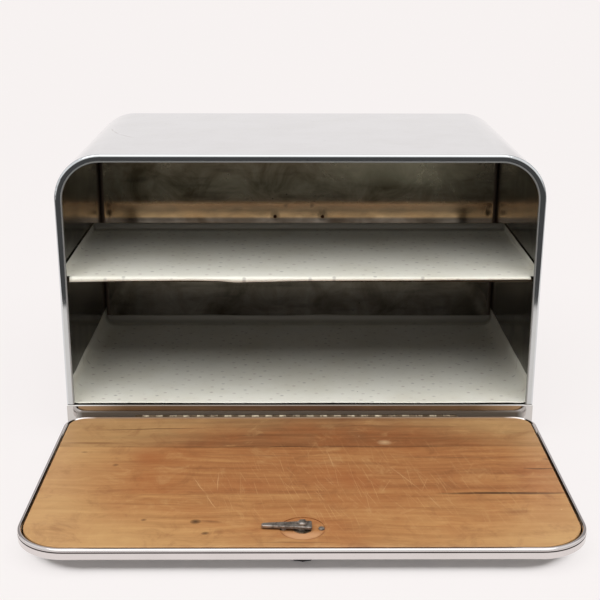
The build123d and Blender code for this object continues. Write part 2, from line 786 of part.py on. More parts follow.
# Cam: a tapering arm on a hub, bevelled along its top edges, pointing left when unlatched
with BuildPart() as latch_cam:
    with BuildSketch(Plane.XY.offset(cam_base_z)) as arm_outline:
        with BuildLine():
            Polyline(
                (cam_heel, latch_y + cam_heel_width / 2),
                (-cam_reach, latch_y + cam_tip_width / 2),
                (-cam_reach, latch_y - cam_tip_width / 2),
                (cam_heel, latch_y - cam_heel_width / 2),
                close=True,
            )
        make_face()
        chamfer(arm_outline.vertices(), cam_tip_width / 4)
    extrude(amount=cam_thickness)
    chamfer(latch_cam.faces().sort_by(Axis.Z)[-1].edges(), cam_bevel)
    with BuildSketch(Plane.XY.offset(spindle_shoulder_z)) as hub_section:
        with Locations((0, latch_y)):
            Circle(cam_hub_radius)
    extrude(amount=cam_base_z - spindle_shoulder_z)
    with BuildSketch(Plane.XY.offset(spindle_shoulder_z)) as drive_hole:
        with Locations((0, latch_y)):
            Rectangle(spindle_square, spindle_square)
    extrude(amount=cam_top_z - spindle_shoulder_z, mode=Mode.SUBTRACT)
finish("latch_cam", latch_cam.part)

with BuildPart() as latch_nut:
    with BuildSketch(Plane.XY.offset(cam_top_z)) as nut_section:
        with Locations((0, latch_y)):
            RegularPolygon(nut_radius, nut_sides)
    extrude(amount=nut_height)
    chamfer(latch_nut.faces().sort_by(Axis.Z)[-1].edges(), nut_bevel)
    with BuildSketch(Plane.XY.offset(cam_top_z)) as nut_thread:
        with Locations((0, latch_y)):
            Circle(spindle_thread_radius)
    extrude(amount=spindle_top_z - cam_top_z, mode=Mode.SUBTRACT)
finish("latch_nut", latch_nut.part)
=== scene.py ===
"""Looks for the chromed bread box: finishes for every solid, laid liners, weld marks, light and camera."""

import math

import bmesh
import bpy
from mathutils import Matrix, Vector, noise
from mathutils.bvhtree import BVHTree


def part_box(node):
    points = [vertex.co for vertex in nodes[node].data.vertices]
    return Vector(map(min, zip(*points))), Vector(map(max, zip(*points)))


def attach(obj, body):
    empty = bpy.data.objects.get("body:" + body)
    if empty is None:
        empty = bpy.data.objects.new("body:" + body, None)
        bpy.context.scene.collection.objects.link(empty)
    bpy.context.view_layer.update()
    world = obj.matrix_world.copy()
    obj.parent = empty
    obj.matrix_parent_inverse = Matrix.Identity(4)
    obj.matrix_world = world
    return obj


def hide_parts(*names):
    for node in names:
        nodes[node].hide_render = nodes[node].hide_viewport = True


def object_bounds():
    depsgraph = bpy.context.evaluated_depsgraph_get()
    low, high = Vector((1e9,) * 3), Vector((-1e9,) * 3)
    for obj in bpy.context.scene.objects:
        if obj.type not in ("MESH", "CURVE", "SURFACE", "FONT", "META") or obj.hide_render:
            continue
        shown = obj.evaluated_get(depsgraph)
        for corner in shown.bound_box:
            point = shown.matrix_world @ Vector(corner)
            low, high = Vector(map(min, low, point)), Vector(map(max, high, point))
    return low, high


MM = 0.001
# a stretch so long that a mark goes right through the sheet
THROUGH = 1000.0

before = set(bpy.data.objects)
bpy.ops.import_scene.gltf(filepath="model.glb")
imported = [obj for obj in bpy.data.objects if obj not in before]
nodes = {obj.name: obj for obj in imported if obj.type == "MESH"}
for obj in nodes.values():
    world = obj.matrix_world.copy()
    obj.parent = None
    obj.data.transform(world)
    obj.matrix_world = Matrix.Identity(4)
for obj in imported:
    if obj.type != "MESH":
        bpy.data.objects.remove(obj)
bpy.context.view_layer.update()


def srgb(code):
    """A hex colour as linear red, green, blue and alpha."""
    parts = [int(code[i:i + 2], 16) / 255 for i in (1, 3, 5)]
    return [c / 12.92 if c <= 0.04045 else ((c + 0.055) / 1.055) ** 2.4 for c in parts] + [1.0]


def add(tree, kind, inputs=None, stops=(), **settings):
    """Adds a node. Its inputs map a socket's name or number to a value, a hex colour or another node's
    output. Stops are a colour ramp's pairs of position and hex colour or grey level."""
    made = tree.nodes.new(kind)
    for name, value in settings.items():
        setattr(made, name, value)
    for key, value in (inputs or {}).items():
        if isinstance(value, bpy.types.NodeSocket):
            tree.links.new(value, made.inputs[key])
        else:
            made.inputs[key].default_value = srgb(value) if isinstance(value, str) else value
    if stops:
        band = made.color_ramp.elements
        while len(band) < len(stops):
            band.new(0.5)
        for element, (position, tone) in zip(band, stops):
            element.position = position
            element.color = srgb(tone) if isinstance(tone, str) else (tone, tone, tone, 1.0)
    return made


def painted(tree, tone, *coats, blend="MIX"):
    """The tone with coats laid over it in turn. A coat is a share and a colour, with stops where the share
    is read from a pattern's strength. MULTIPLY stains what is under a coat instead of hiding it."""
    for share, colour, *stops in coats:
        if stops:
            share = add(tree, "ShaderNodeValToRGB", {0: share}, stops).outputs[0]
        tone = add(
            tree, "ShaderNodeMix", {0: share, 6: tone, 7: colour}, data_type="RGBA", blend_type=blend
        ).outputs[2]
    return tone


def overlap(tree, first, *others):
    """1 where all of these zones meet; a number among them weakens the rest."""
    for other in others:
        first = add(tree, "ShaderNodeMath", {0: first, 1: other}, operation="MULTIPLY").outputs[0]
    return first


def past_box(tree, place, half):
    """How far a place lies outside a box round the origin, from the box's half size along each axis."""
    folded = add(tree, "ShaderNodeVectorMath", {0: place}, operation="ABSOLUTE").outputs[0]
    past = add(tree, "ShaderNodeVectorMath", {0: folded, 1: half}, operation="SUBTRACT").outputs[0]
    outward = add(tree, "ShaderNodeVectorMath", {0: past, 1: (0, 0, 0)}, operation="MAXIMUM").outputs[0]
    return add(tree, "ShaderNodeVectorMath", {0: outward}, operation="LENGTH").outputs["Value"]


def away_from(tree, value, middle):
    """How far a value is from a middle, either way."""
    off = add(tree, "ShaderNodeMath", {0: value, 1: middle}, operation="SUBTRACT").outputs[0]
    return add(tree, "ShaderNodeMath", {0: off}, operation="ABSOLUTE").outputs[0]


def blank_material(name):
    """A new material, its empty tree, and the piece's own coordinates in it."""
    made = bpy.data.materials.new(name)
    made.use_nodes = True
    tree = made.node_tree
    tree.nodes.clear()
    return made, tree, add(tree, "ShaderNodeTexCoord").outputs["Object"]


def surfaced(made, tree, looks):
    """The material with its tree ended by a shader that has these inputs."""
    shader = add(tree, "ShaderNodeBsdfPrincipled", looks)
    add(tree, "ShaderNodeOutputMaterial", {0: shader.outputs[0]})
    return made


def spots(tree, place, spread, size, softness=0.25):
    """1 inside small round spots and 0 elsewhere; spread is their spacing and size their radius, in mm."""
    cells = add(tree, "ShaderNodeTexVoronoi", {"Vector": place, "Scale": 1 / (spread * MM)})
    edge = size / spread
    fading = ((edge * (1 - softness), 1.0), (edge, 0.0))
    return add(tree, "ShaderNodeValToRGB", {0: cells.outputs["Distance"]}, fading).outputs[0]


def fading_out(tree, local, power):
    """1 at the origin of these coordinates, fading to 0 at a distance of 1, and fuller for a lower power."""
    distance = add(tree, "ShaderNodeVectorMath", {0: local}, operation="LENGTH").outputs["Value"]
    inside = add(tree, "ShaderNodeMath", {0: 1.0, 1: distance}, operation="SUBTRACT", use_clamp=True)
    return add(tree, "ShaderNodeMath", {0: inside.outputs[0], 1: power}, operation="POWER").outputs[0]


def within(tree, place, centre, radius, stretch=(1, 1, 1), power=1.0):
    """Fades from 1 at a centre to 0 at radius, both in mm, stretched along each axis."""
    scaled = [1 / (radius * s * MM) for s in stretch]
    shift = [-c * MM * s for c, s in zip(centre, scaled)]
    local = add(tree, "ShaderNodeMapping", {"Vector": place, "Location": shift, "Scale": scaled}).outputs[0]
    return fading_out(tree, local, power)


def stroke(tree, place, start, end, width, edge=1.0):
    """1 along a line between two points of a level face, fading to 0 at its width and its ends, in mm."""
    run = (end[0] - start[0], end[1] - start[1])
    local = add(
        tree,
        "ShaderNodeMapping",
        {
            "Vector": place,
            "Location": ((start[0] + end[0]) / 2 * MM, (start[1] + end[1]) / 2 * MM, 0.0),
            "Rotation": (0.0, 0.0, math.atan2(run[1], run[0])),
            "Scale": (math.hypot(*run) / 2 * MM, width / 2 * MM, THROUGH),
        },
        vector_type="TEXTURE",
    ).outputs[0]
    return fading_out(tree, local, edge)


def dents(tree, place, spread, depth):
    """Shallow waves in a surface, spread apart and as deep as given, in mm."""
    waves = add(
        tree, "ShaderNodeTexNoise", {"Vector": place, "Scale": 1 / (spread * MM), "Detail": 2.0}
    ).outputs[0]
    return add(
        tree, "ShaderNodeBump", {"Height": waves, "Distance": depth * MM, "Strength": 1.0}
    ).outputs[0]


def matt_coat(tree, looks, share, dark_tone):
    """Lays a dark tone over metal by a share, matt and hardly metallic."""
    looks["Base Color"] = painted(tree, looks["Base Color"], (share, dark_tone))
    looks["Roughness"] = add(
        tree, "ShaderNodeMix", {0: share, 2: looks["Roughness"], 3: 0.8}
    ).outputs[0]
    looks["Metallic"] = add(tree, "ShaderNodeMapRange", {0: share, 3: 1.0, 4: 0.1}).outputs[0]


# Chromed steel, pressed then plated and polished: a clear mirror, faintly hazed and pitted with age
def chrome_looks(tree, place, tint, haze, wave_height):
    """The shader's inputs, for the sheets that add their own dirt and wear."""
    smears = add(
        tree, "ShaderNodeTexNoise", {"Vector": place, "Scale": 1 / (45 * MM), "Detail": 5.0, "Roughness": 0.6}
    ).outputs[0]
    pits = spots(tree, place, 21, 0.55)
    return {
        "Base Color": painted(tree, tint, (smears, "#a9a69e", (0.4, 0.0), (0.75, 0.12)), (pits, "#6a5a48")),
        "Metallic": 1.0,
        "Roughness": add(
            tree, "ShaderNodeValToRGB", {0: smears}, ((0.3, haze * 0.6), (0.8, haze * 2.2))
        ).outputs[0],
        "Normal": dents(tree, place, 90, wave_height),
    }


def chrome(name, tint, haze, wave_height):
    made, tree, place = blank_material(name)
    return surfaced(made, tree, chrome_looks(tree, place, tint, haze, wave_height))


# The casing's one sheet: chromed outside, with painted shade darkening the rim's face, and tarnished inside,
# where no wheel went
def casing_steel(name):
    made, tree, place = blank_material(name)
    looks = chrome_looks(tree, place, "#dcdfe1", haze=0.05, wave_height=0.05)
    low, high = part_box("body_wrap")
    corner = 41 * MM
    rim_rear = low.y + 3.0 * MM
    half_sheet = 0.4 * MM
    # how deep a point lies under the casing's outline, which is rounded at its two top corners
    upright = add(tree, "ShaderNodeVectorMath", {0: place, 1: (1, 0, 1)}, operation="MULTIPLY").outputs[0]
    reach = past_box(tree, upright, (high.x - corner, 0.0, high.z - corner))
    depth = add(tree, "ShaderNodeMath", {0: corner, 1: reach}, operation="SUBTRACT").outputs[0]
    along = add(tree, "ShaderNodeSeparateXYZ", {0: place}).outputs[1]
    behind = add(tree, "ShaderNodeMath", {0: along, 1: rim_rear}, operation="GREATER_THAN").outputs[0]
    front = add(tree, "ShaderNodeMath", {0: 1.0, 1: behind}, operation="SUBTRACT").outputs[0]
    under = add(tree, "ShaderNodeMath", {0: depth, 1: half_sheet}, operation="GREATER_THAN").outputs[0]
    inside = overlap(tree, behind, under)
    # the rim's flat face, darkened a little as painted shade, and the lip along its inner edge, worn dull
    face = add(tree, "ShaderNodeMapRange", {0: depth, 1: 1.2 * MM, 2: 2.0 * MM}).outputs[0]
    lip = add(tree, "ShaderNodeMapRange", {0: depth, 1: 5.2 * MM, 2: 6.0 * MM}).outputs[0]
    worn = overlap(tree, lip, front)
    tone = painted(tree, looks["Base Color"], (overlap(tree, face, front), "#ecebe8"), blend="MULTIPLY")
    # a faint scrape along the top, bent twice
    for start, end in (((-184, 150), (-179, 126)), ((-179, 127), (-171, 108)), ((-172, 109), (-154, 87))):
        scrape = stroke(tree, place, start, end, 1.6, 0.5)
        tone = painted(tree, tone, (overlap(tree, scrape, 0.5), "#85766a"))
    tone = painted(tree, tone, (worn, "#d2d1cf"), blend="MULTIPLY")
    inner_tone, patches = tarnished_tone(tree, place, "#97948d", "#5f5b55", 50)
    dull = add(tree, "ShaderNodeValToRGB", {0: patches}, ((0.3, 0.12), (0.75, 0.26))).outputs[0]
    rough = add(tree, "ShaderNodeMix", {0: inside, 2: looks["Roughness"], 3: dull}).outputs[0]
    looks["Base Color"] = painted(tree, tone, (inside, inner_tone))
    looks["Roughness"] = add(tree, "ShaderNodeMix", {0: worn, 2: rough, 3: 0.45}).outputs[0]
    return surfaced(made, tree, looks)


# The door's sheet: the same chrome, with painted shade in the crease under its bead, and the bead beside the
# hinge darkened brown as painted shade
def door_steel(name):
    made, tree, place = blank_material(name)
    looks = chrome_looks(tree, place, "#dfd9d7", haze=0.05, wave_height=0.03)
    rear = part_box("door_skin")[1].y
    crease_height = 20 * MM
    bead_foot = 17 * MM
    across, along, height = add(tree, "ShaderNodeSeparateXYZ", {0: place}).outputs
    # painted shade: a dark line along the crease under the bead
    off = away_from(tree, height, crease_height)
    crease = add(tree, "ShaderNodeMapRange", {0: off, 1: 0.35 * MM, 2: 0.8 * MM, 3: 0.9, 4: 0.0}).outputs[0]
    # painted shade on the bead beside the hinge, tinted brown
    by_hinge = add(
        tree, "ShaderNodeMapRange", {0: along, 1: rear - 7.5 * MM, 2: rear - 6.5 * MM}
    ).outputs[0]
    sideways = add(tree, "ShaderNodeMath", {0: across}, operation="ABSOLUTE").outputs[0]
    inner = add(tree, "ShaderNodeMapRange", {0: sideways, 1: 204 * MM, 2: 186 * MM}).outputs[0]
    on_bead = add(tree, "ShaderNodeMath", {0: height, 1: bead_foot}, operation="GREATER_THAN").outputs[0]
    darkened = overlap(tree, by_hinge, inner, on_bead)
    tone = painted(tree, looks["Base Color"], (crease, "#30231e"))
    looks["Base Color"] = painted(tree, tone, (darkened, "#a08a74"), blend="MULTIPLY")
    looks["Roughness"] = add(
        tree, "ShaderNodeMix", {0: darkened, 2: looks["Roughness"], 3: 0.5}
    ).outputs[0]
    return surfaced(made, tree, looks)


# The apron's chrome: darker and browner over its middle than towards both ends, with painted shade in the gap
# between it and the hinge
def apron_steel(name):
    made, tree, place = blank_material(name)
    looks = chrome_looks(tree, place, "#cfccc8", haze=0.08, wave_height=0.12)
    across, _, height = add(tree, "ShaderNodeSeparateXYZ", {0: place}).outputs
    sideways = add(tree, "ShaderNodeMath", {0: across}, operation="ABSOLUTE").outputs[0]
    # darker and browner over the middle, fading out towards both ends
    darkened = add(tree, "ShaderNodeMapRange", {0: sideways, 1: 206 * MM, 2: 160 * MM}).outputs[0]
    looks["Base Color"] = painted(tree, looks["Base Color"], (darkened, "#ada69f"), blend="MULTIPLY")
    # painted shade in the gap between the apron and the hinge: dark, matt and hardly metallic
    below_top = add(tree, "ShaderNodeMapRange", {0: height, 1: 26.5 * MM, 2: 24 * MM}).outputs[0]
    inner = add(tree, "ShaderNodeMapRange", {0: sideways, 1: 207 * MM, 2: 200 * MM}).outputs[0]
    above_foot = add(
        tree, "ShaderNodeMapRange", {0: height, 1: 12 * MM, 2: 18 * MM, 3: 0.15, 4: 1.0}
    ).outputs[0]
    matt_coat(tree, looks, overlap(tree, below_top, inner, above_foot), "#665a4e")
    return surfaced(made, tree, looks)


# Thinly plated steel, never polished: browned by age to a blotchy half mirror
def tarnished_tone(tree, place, pale, dark, blotch):
    """Its colour, and the pattern of its patches, blotch mm apart."""
    patches = add(
        tree,
        "ShaderNodeTexNoise",
        {"Vector": place, "Scale": 1 / (blotch * MM), "Detail": 7.0, "Roughness": 0.62, "Distortion": 0.6},
    ).outputs[0]
    runs = add(
        tree, "ShaderNodeMapping", {"Vector": place, "Scale": (1 / (60 * MM), 1 / (60 * MM), 1 / (9 * MM))}
    ).outputs[0]
    streaks = add(tree, "ShaderNodeTexNoise", {"Vector": runs, "Scale": 1.0, "Detail": 4.0}).outputs[0]
    tone = painted(
        tree,
        pale,
        (patches, dark, (0.35, 0.0), (0.68, 1.0)),
        (streaks, "#2e2216", (0.52, 0.0), (0.75, 0.45)),
        (spots(tree, place, 17, 0.8), "#1c120b"),
    )
    return tone, patches


# The floor, the shelf and its ledges, left as they were plated, and dirtiest along their front edges
def pan_steel(name, pale, dark, blotch, polish):
    made, tree, place = blank_material(name)
    tone, patches = tarnished_tone(tree, place, pale, dark, blotch)
    along = add(tree, "ShaderNodeSeparateXYZ", {0: place}).outputs[1]
    handled = add(tree, "ShaderNodeMapRange", {0: along, 1: 9 * MM, 2: 13 * MM, 3: 0.8, 4: 0.0}).outputs[0]
    rough = add(tree, "ShaderNodeValToRGB", {0: patches}, ((0.3, polish), (0.75, polish * 2.2))).outputs[0]
    looks = {
        "Base Color": painted(tree, tone, (handled, "#2f2820")),
        "Metallic": 1.0,
        "Roughness": rough,
        "Normal": dents(tree, place, 35, 0.1),
    }
    return surfaced(made, tree, looks)


# The back panel: the same plating, with painted light in a band over the shelf and high on the right, painted
# shade under the shelf and above the band that eases near the top, and stains at its fixings
def tarnished_back(name):
    made, tree, place = blank_material(name)
    tone, patches = tarnished_tone(tree, place, "#b39a76", "#6b573b", 42)
    bare = tone
    across, _, height = add(tree, "ShaderNodeSeparateXYZ", {0: place}).outputs

    def by_height(start, end):
        """0 at the start height and 1 at the end height, in mm."""
        return add(tree, "ShaderNodeMapRange", {0: height, 1: start * MM, 2: end * MM}).outputs[0]

    # painted light: a paler band over the shelf, where light through the gap behind the shelf falls,
    # brightest along its foot
    lit_band = overlap(tree, by_height(153, 157), by_height(170, 166), 0.42)
    lit_band_foot = overlap(tree, by_height(150.5, 152.5), by_height(163, 156), 0.5)
    tone = painted(tree, tone, (lit_band, "#e2c69e"), (lit_band_foot, "#f3cf98"))
    # painted shade, cool and darker, under the shelf and above the band
    shade_under_shelf = by_height(153, 150)
    shade_over_band = by_height(166, 171)
    tone = painted(tree, tone, (shade_under_shelf, "#b5c8ee"), (shade_over_band, "#adc0d8"), blend="MULTIPLY")
    # towards the top the painted shade eases to a cooler tone
    less_shaded_top = painted(tree, bare, (1.0, "#cad9f2"), blend="MULTIPLY")
    # painted light: a paler patch high up towards the right
    lit_patch = within(tree, place, (112, 0, 214), 30, (3.2, THROUGH, 1), 0.7)
    tone = painted(tree, tone, (by_height(188, 212), less_shaded_top), (overlap(tree, lit_patch, 0.5), "#b9b59c"))
    for x, z, radius, depth in (
        (-205, 157, 3.6, 0.9),
        (-206, 165, 3.2, 0.7),
        (205, 157, 3.6, 0.9),
        (206, 165, 3.2, 0.7),
        (-14, 165, 2.6, 0.5),
        (14, 165, 2.6, 0.5),
        (-25.7, 153.5, 6, 0.6),
        (25.7, 153.5, 6, 0.6),
    ):
        stain = within(tree, place, (x, 0, z), radius, (1, THROUGH, 1), 0.5)
        tone = painted(tree, tone, (overlap(tree, stain, depth), "#20140b"))
    polish = add(tree, "ShaderNodeValToRGB", {0: patches}, ((0.3, 0.07), (0.75, 0.16))).outputs[0]
    dull = add(tree, "ShaderNodeValToRGB", {0: patches}, ((0.3, 0.22), (0.75, 0.42))).outputs[0]
    rough = add(tree, "ShaderNodeMix", {0: by_height(160, 169), 2: polish, 3: dull}).outputs[0]
    # the outside faces the kitchen wall: dull grey all over
    facing = add(tree, "ShaderNodeTexCoord").outputs["Normal"]
    rearward = add(tree, "ShaderNodeSeparateXYZ", {0: facing}).outputs[1]
    outside = add(tree, "ShaderNodeMath", {0: rearward, 1: 0.1}, operation="GREATER_THAN").outputs[0]
    weathered = painted(tree, "#9c9a94", (patches, "#7d786d", (0.35, 0.0), (0.68, 1.0)))
    looks = {
        "Base Color": painted(tree, tone, (outside, weathered)),
        "Roughness": add(tree, "ShaderNodeMix", {0: outside, 2: rough, 3: 0.38}).outputs[0],
        "Normal": dents(tree, place, 35, 0.1),
    }
    # dark brown, matt and hardly metallic along the corners at both sides
    sideways = add(tree, "ShaderNodeMath", {0: across}, operation="ABSOLUTE").outputs[0]
    at_corners = add(tree, "ShaderNodeMapRange", {0: sideways, 1: 209 * MM, 2: 210.5 * MM}).outputs[0]
    matt_coat(tree, looks, at_corners, "#4f4237")
    return surfaced(made, tree, looks)


# Turned and stamped small parts, plated, cast or rusted: dull, with darker dirt in patches
def small_steel(name, pale, dark_tone, roughness):
    made, tree, place = blank_material(name)
    grime = add(
        tree, "ShaderNodeTexNoise", {"Vector": place, "Scale": 1 / (7 * MM), "Detail": 5.0, "Roughness": 0.7}
    ).outputs[0]
    polish = ((0.3, roughness), (0.8, min(1.0, roughness * 2)))
    looks = {
        "Base Color": painted(tree, pale, (grime, dark_tone, (0.4, 0.0), (0.65, 1.0))),
        "Metallic": 1.0,
        "Roughness": add(tree, "ShaderNodeValToRGB", {0: grime}, polish).outputs[0],
    }
    return surfaced(made, tree, looks)


# Coated shelf paper, rolled flat: white gone faintly cream, printed with small faint sprigs
def liner_paper(name):
    made, tree, place = blank_material(name)
    stains = add(
        tree, "ShaderNodeTexNoise", {"Vector": place, "Scale": 1 / (55 * MM), "Detail": 6.0, "Roughness": 0.6}
    ).outputs[0]
    tone = painted(tree, "#edebdf", (stains, "#d5cfba", (0.45, 0.0), (0.8, 0.5)))
    sprig_pitch = (1 / (20 * MM), 1 / (16 * MM), 0.0)
    for shift, ink in ((0.0, "#96918b"), (0.5, "#ab9790")):
        lattice = add(
            tree,
            "ShaderNodeMapping",
            {"Vector": place, "Location": (shift, shift, 0.0), "Scale": sprig_pitch},
        ).outputs[0]
        sprigs = add(
            tree,
            "ShaderNodeTexVoronoi",
            {"Vector": lattice, "Scale": 1.0, "Randomness": 0.5},
            voronoi_dimensions="2D",
        ).outputs
        printed = add(
            tree, "ShaderNodeValToRGB", {0: sprigs["Distance"]}, ((0.045, 0.55), (0.11, 0.0))
        ).outputs[0]
        inked = add(tree, "ShaderNodeValToRGB", {0: sprigs["Color"]}, ((0.2, 0.15), (0.8, 1.0))).outputs[0]
        tone = painted(tree, tone, (overlap(tree, printed, inked), ink))
    tone = painted(tree, tone, (spots(tree, place, 34, 0.6), "#7b6f5f"))
    # painted shade darkens the bend along each sheet's rear
    shelf_from = 100 * MM
    _, along, height = add(tree, "ShaderNodeSeparateXYZ", {0: place}).outputs
    on_shelf = add(tree, "ShaderNodeMath", {0: height, 1: shelf_from}, operation="GREATER_THAN").outputs[0]
    for node, level in (("shelf_liner", on_shelf), ("floor_liner", None)):
        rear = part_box(node)[1].y
        bend = add(
            tree, "ShaderNodeMapRange", {0: along, 1: rear - 13 * MM, 2: rear - 4 * MM, 3: 0.0, 4: 0.95}
        ).outputs[0]
        if level:
            bend = overlap(tree, bend, level)
        tone = painted(tree, tone, (bend, "#aaa69c"), blend="MULTIPLY")
    # and painted shade greys the face that stands up there, facing the front
    facing = add(tree, "ShaderNodeTexCoord").outputs["Normal"]
    forward = add(tree, "ShaderNodeSeparateXYZ", {0: facing}).outputs[1]
    upright = add(tree, "ShaderNodeMapRange", {0: forward, 1: -0.2, 2: -0.8}).outputs[0]
    behind_front = add(tree, "ShaderNodeMath", {0: along, 1: 20 * MM}, operation="GREATER_THAN").outputs[0]
    grain = add(
        tree, "ShaderNodeTexNoise", {"Vector": place, "Scale": 1 / (9 * MM), "Detail": 3.0}
    ).outputs[0]
    looks = {
        "Base Color": painted(tree, tone, (overlap(tree, upright, behind_front), "#827d72")),
        "Roughness": 0.5,
        "Normal": add(
            tree, "ShaderNodeBump", {"Height": grain, "Distance": 0.2 * MM, "Strength": 0.6}
        ).outputs[0],
    }
    return surfaced(made, tree, looks)


def scratches(tree, place, angle, pitch, length, width, share):
    """Thin strokes near one direction: one in each cell of pitch by length, in mm, for a share of cells."""
    cell = (pitch, length, 1.0)
    slant = 0.08
    turned = add(
        tree,
        "ShaderNodeMapping",
        {"Vector": place, "Rotation": (0, 0, math.radians(angle)), "Scale": (1 / MM, 1 / MM, 0.0)},
    ).outputs[0]
    cells = add(tree, "ShaderNodeVectorMath", {0: turned, 1: cell}, operation="DIVIDE").outputs[0]
    found = add(
        tree, "ShaderNodeTexVoronoi", {"Vector": cells, "Scale": 1.0}, voronoi_dimensions="2D"
    ).outputs
    away = add(
        tree, "ShaderNodeVectorMath", {0: cells, 1: found["Position"]}, operation="SUBTRACT"
    ).outputs[0]
    in_mm = add(tree, "ShaderNodeVectorMath", {0: away, 1: cell}, operation="MULTIPLY").outputs[0]
    across, along, _ = add(tree, "ShaderNodeSeparateXYZ", {0: in_mm}).outputs
    chance, tilt, strength = add(tree, "ShaderNodeSeparateXYZ", {0: found["Color"]}).outputs
    lean = add(tree, "ShaderNodeMapRange", {0: tilt, 3: -slant, 4: slant}).outputs[0]
    slanted = add(
        tree, "ShaderNodeMath", {0: along, 1: lean, 2: across}, operation="MULTIPLY_ADD"
    ).outputs[0]
    off = add(tree, "ShaderNodeMath", {0: slanted}, operation="ABSOLUTE").outputs[0]
    thin = add(tree, "ShaderNodeMapRange", {0: off, 1: width / 2, 2: width, 3: 1.0, 4: 0.0}).outputs[0]
    past = add(tree, "ShaderNodeMath", {0: along}, operation="ABSOLUTE").outputs[0]
    ending = add(
        tree, "ShaderNodeMapRange", {0: past, 1: length * 0.25, 2: length * 0.45, 3: 1.0, 4: 0.0}
    ).outputs[0]
    drawn = add(tree, "ShaderNodeMath", {0: chance, 1: share}, operation="LESS_THAN").outputs[0]
    return overlap(tree, thin, ending, drawn, strength)


def waved(tree, place):
    """The board's coordinates, waved a little so that drawn lines follow the grain."""
    waves = add(
        tree, "ShaderNodeTexNoise", {"Vector": place, "Scale": 1 / (28 * MM), "Detail": 3.0}
    ).outputs["Color"]
    even = add(tree, "ShaderNodeVectorMath", {0: waves, 1: (0.5, 0.5, 0.5)}, operation="SUBTRACT").outputs[0]
    reach = (0.004, 0.0032, 0.0)
    return add(
        tree, "ShaderNodeVectorMath", {0: even, 1: reach, 2: place}, operation="MULTIPLY_ADD"
    ).outputs[0]


def latch_ring(tree, place, tone):
    """The tone with a dark ring round the latch over its front half, and paler wood inside it there."""
    low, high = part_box("latch_spindle")
    middle = (low + high) / 2
    ring_radius = 16.7 * MM
    from_latch = add(
        tree, "ShaderNodeVectorMath", {0: place, 1: (middle.x, middle.y, 0.0)}, operation="SUBTRACT"
    ).outputs[0]
    on_face = add(
        tree, "ShaderNodeVectorMath", {0: from_latch, 1: (1, 1, 0)}, operation="MULTIPLY"
    ).outputs[0]
    reach = add(tree, "ShaderNodeVectorMath", {0: on_face}, operation="LENGTH").outputs["Value"]
    forward = add(tree, "ShaderNodeSeparateXYZ", {0: on_face}).outputs[1]
    front = add(tree, "ShaderNodeMapRange", {0: forward, 1: -2 * MM, 2: -8 * MM}).outputs[0]
    off = away_from(tree, reach, ring_radius)
    ring = add(tree, "ShaderNodeMapRange", {0: off, 1: 0.3 * MM, 2: 1.1 * MM, 3: 0.8, 4: 0.0}).outputs[0]
    inside = add(tree, "ShaderNodeMapRange", {0: reach, 1: 14 * MM, 2: 16.5 * MM, 3: 0.55, 4: 0.0}).outputs[0]
    paler_inside = overlap(tree, inside, front)
    return painted(tree, tone, (paler_inside, "#cf9f78"), (overlap(tree, ring, front), "#6b3320"))


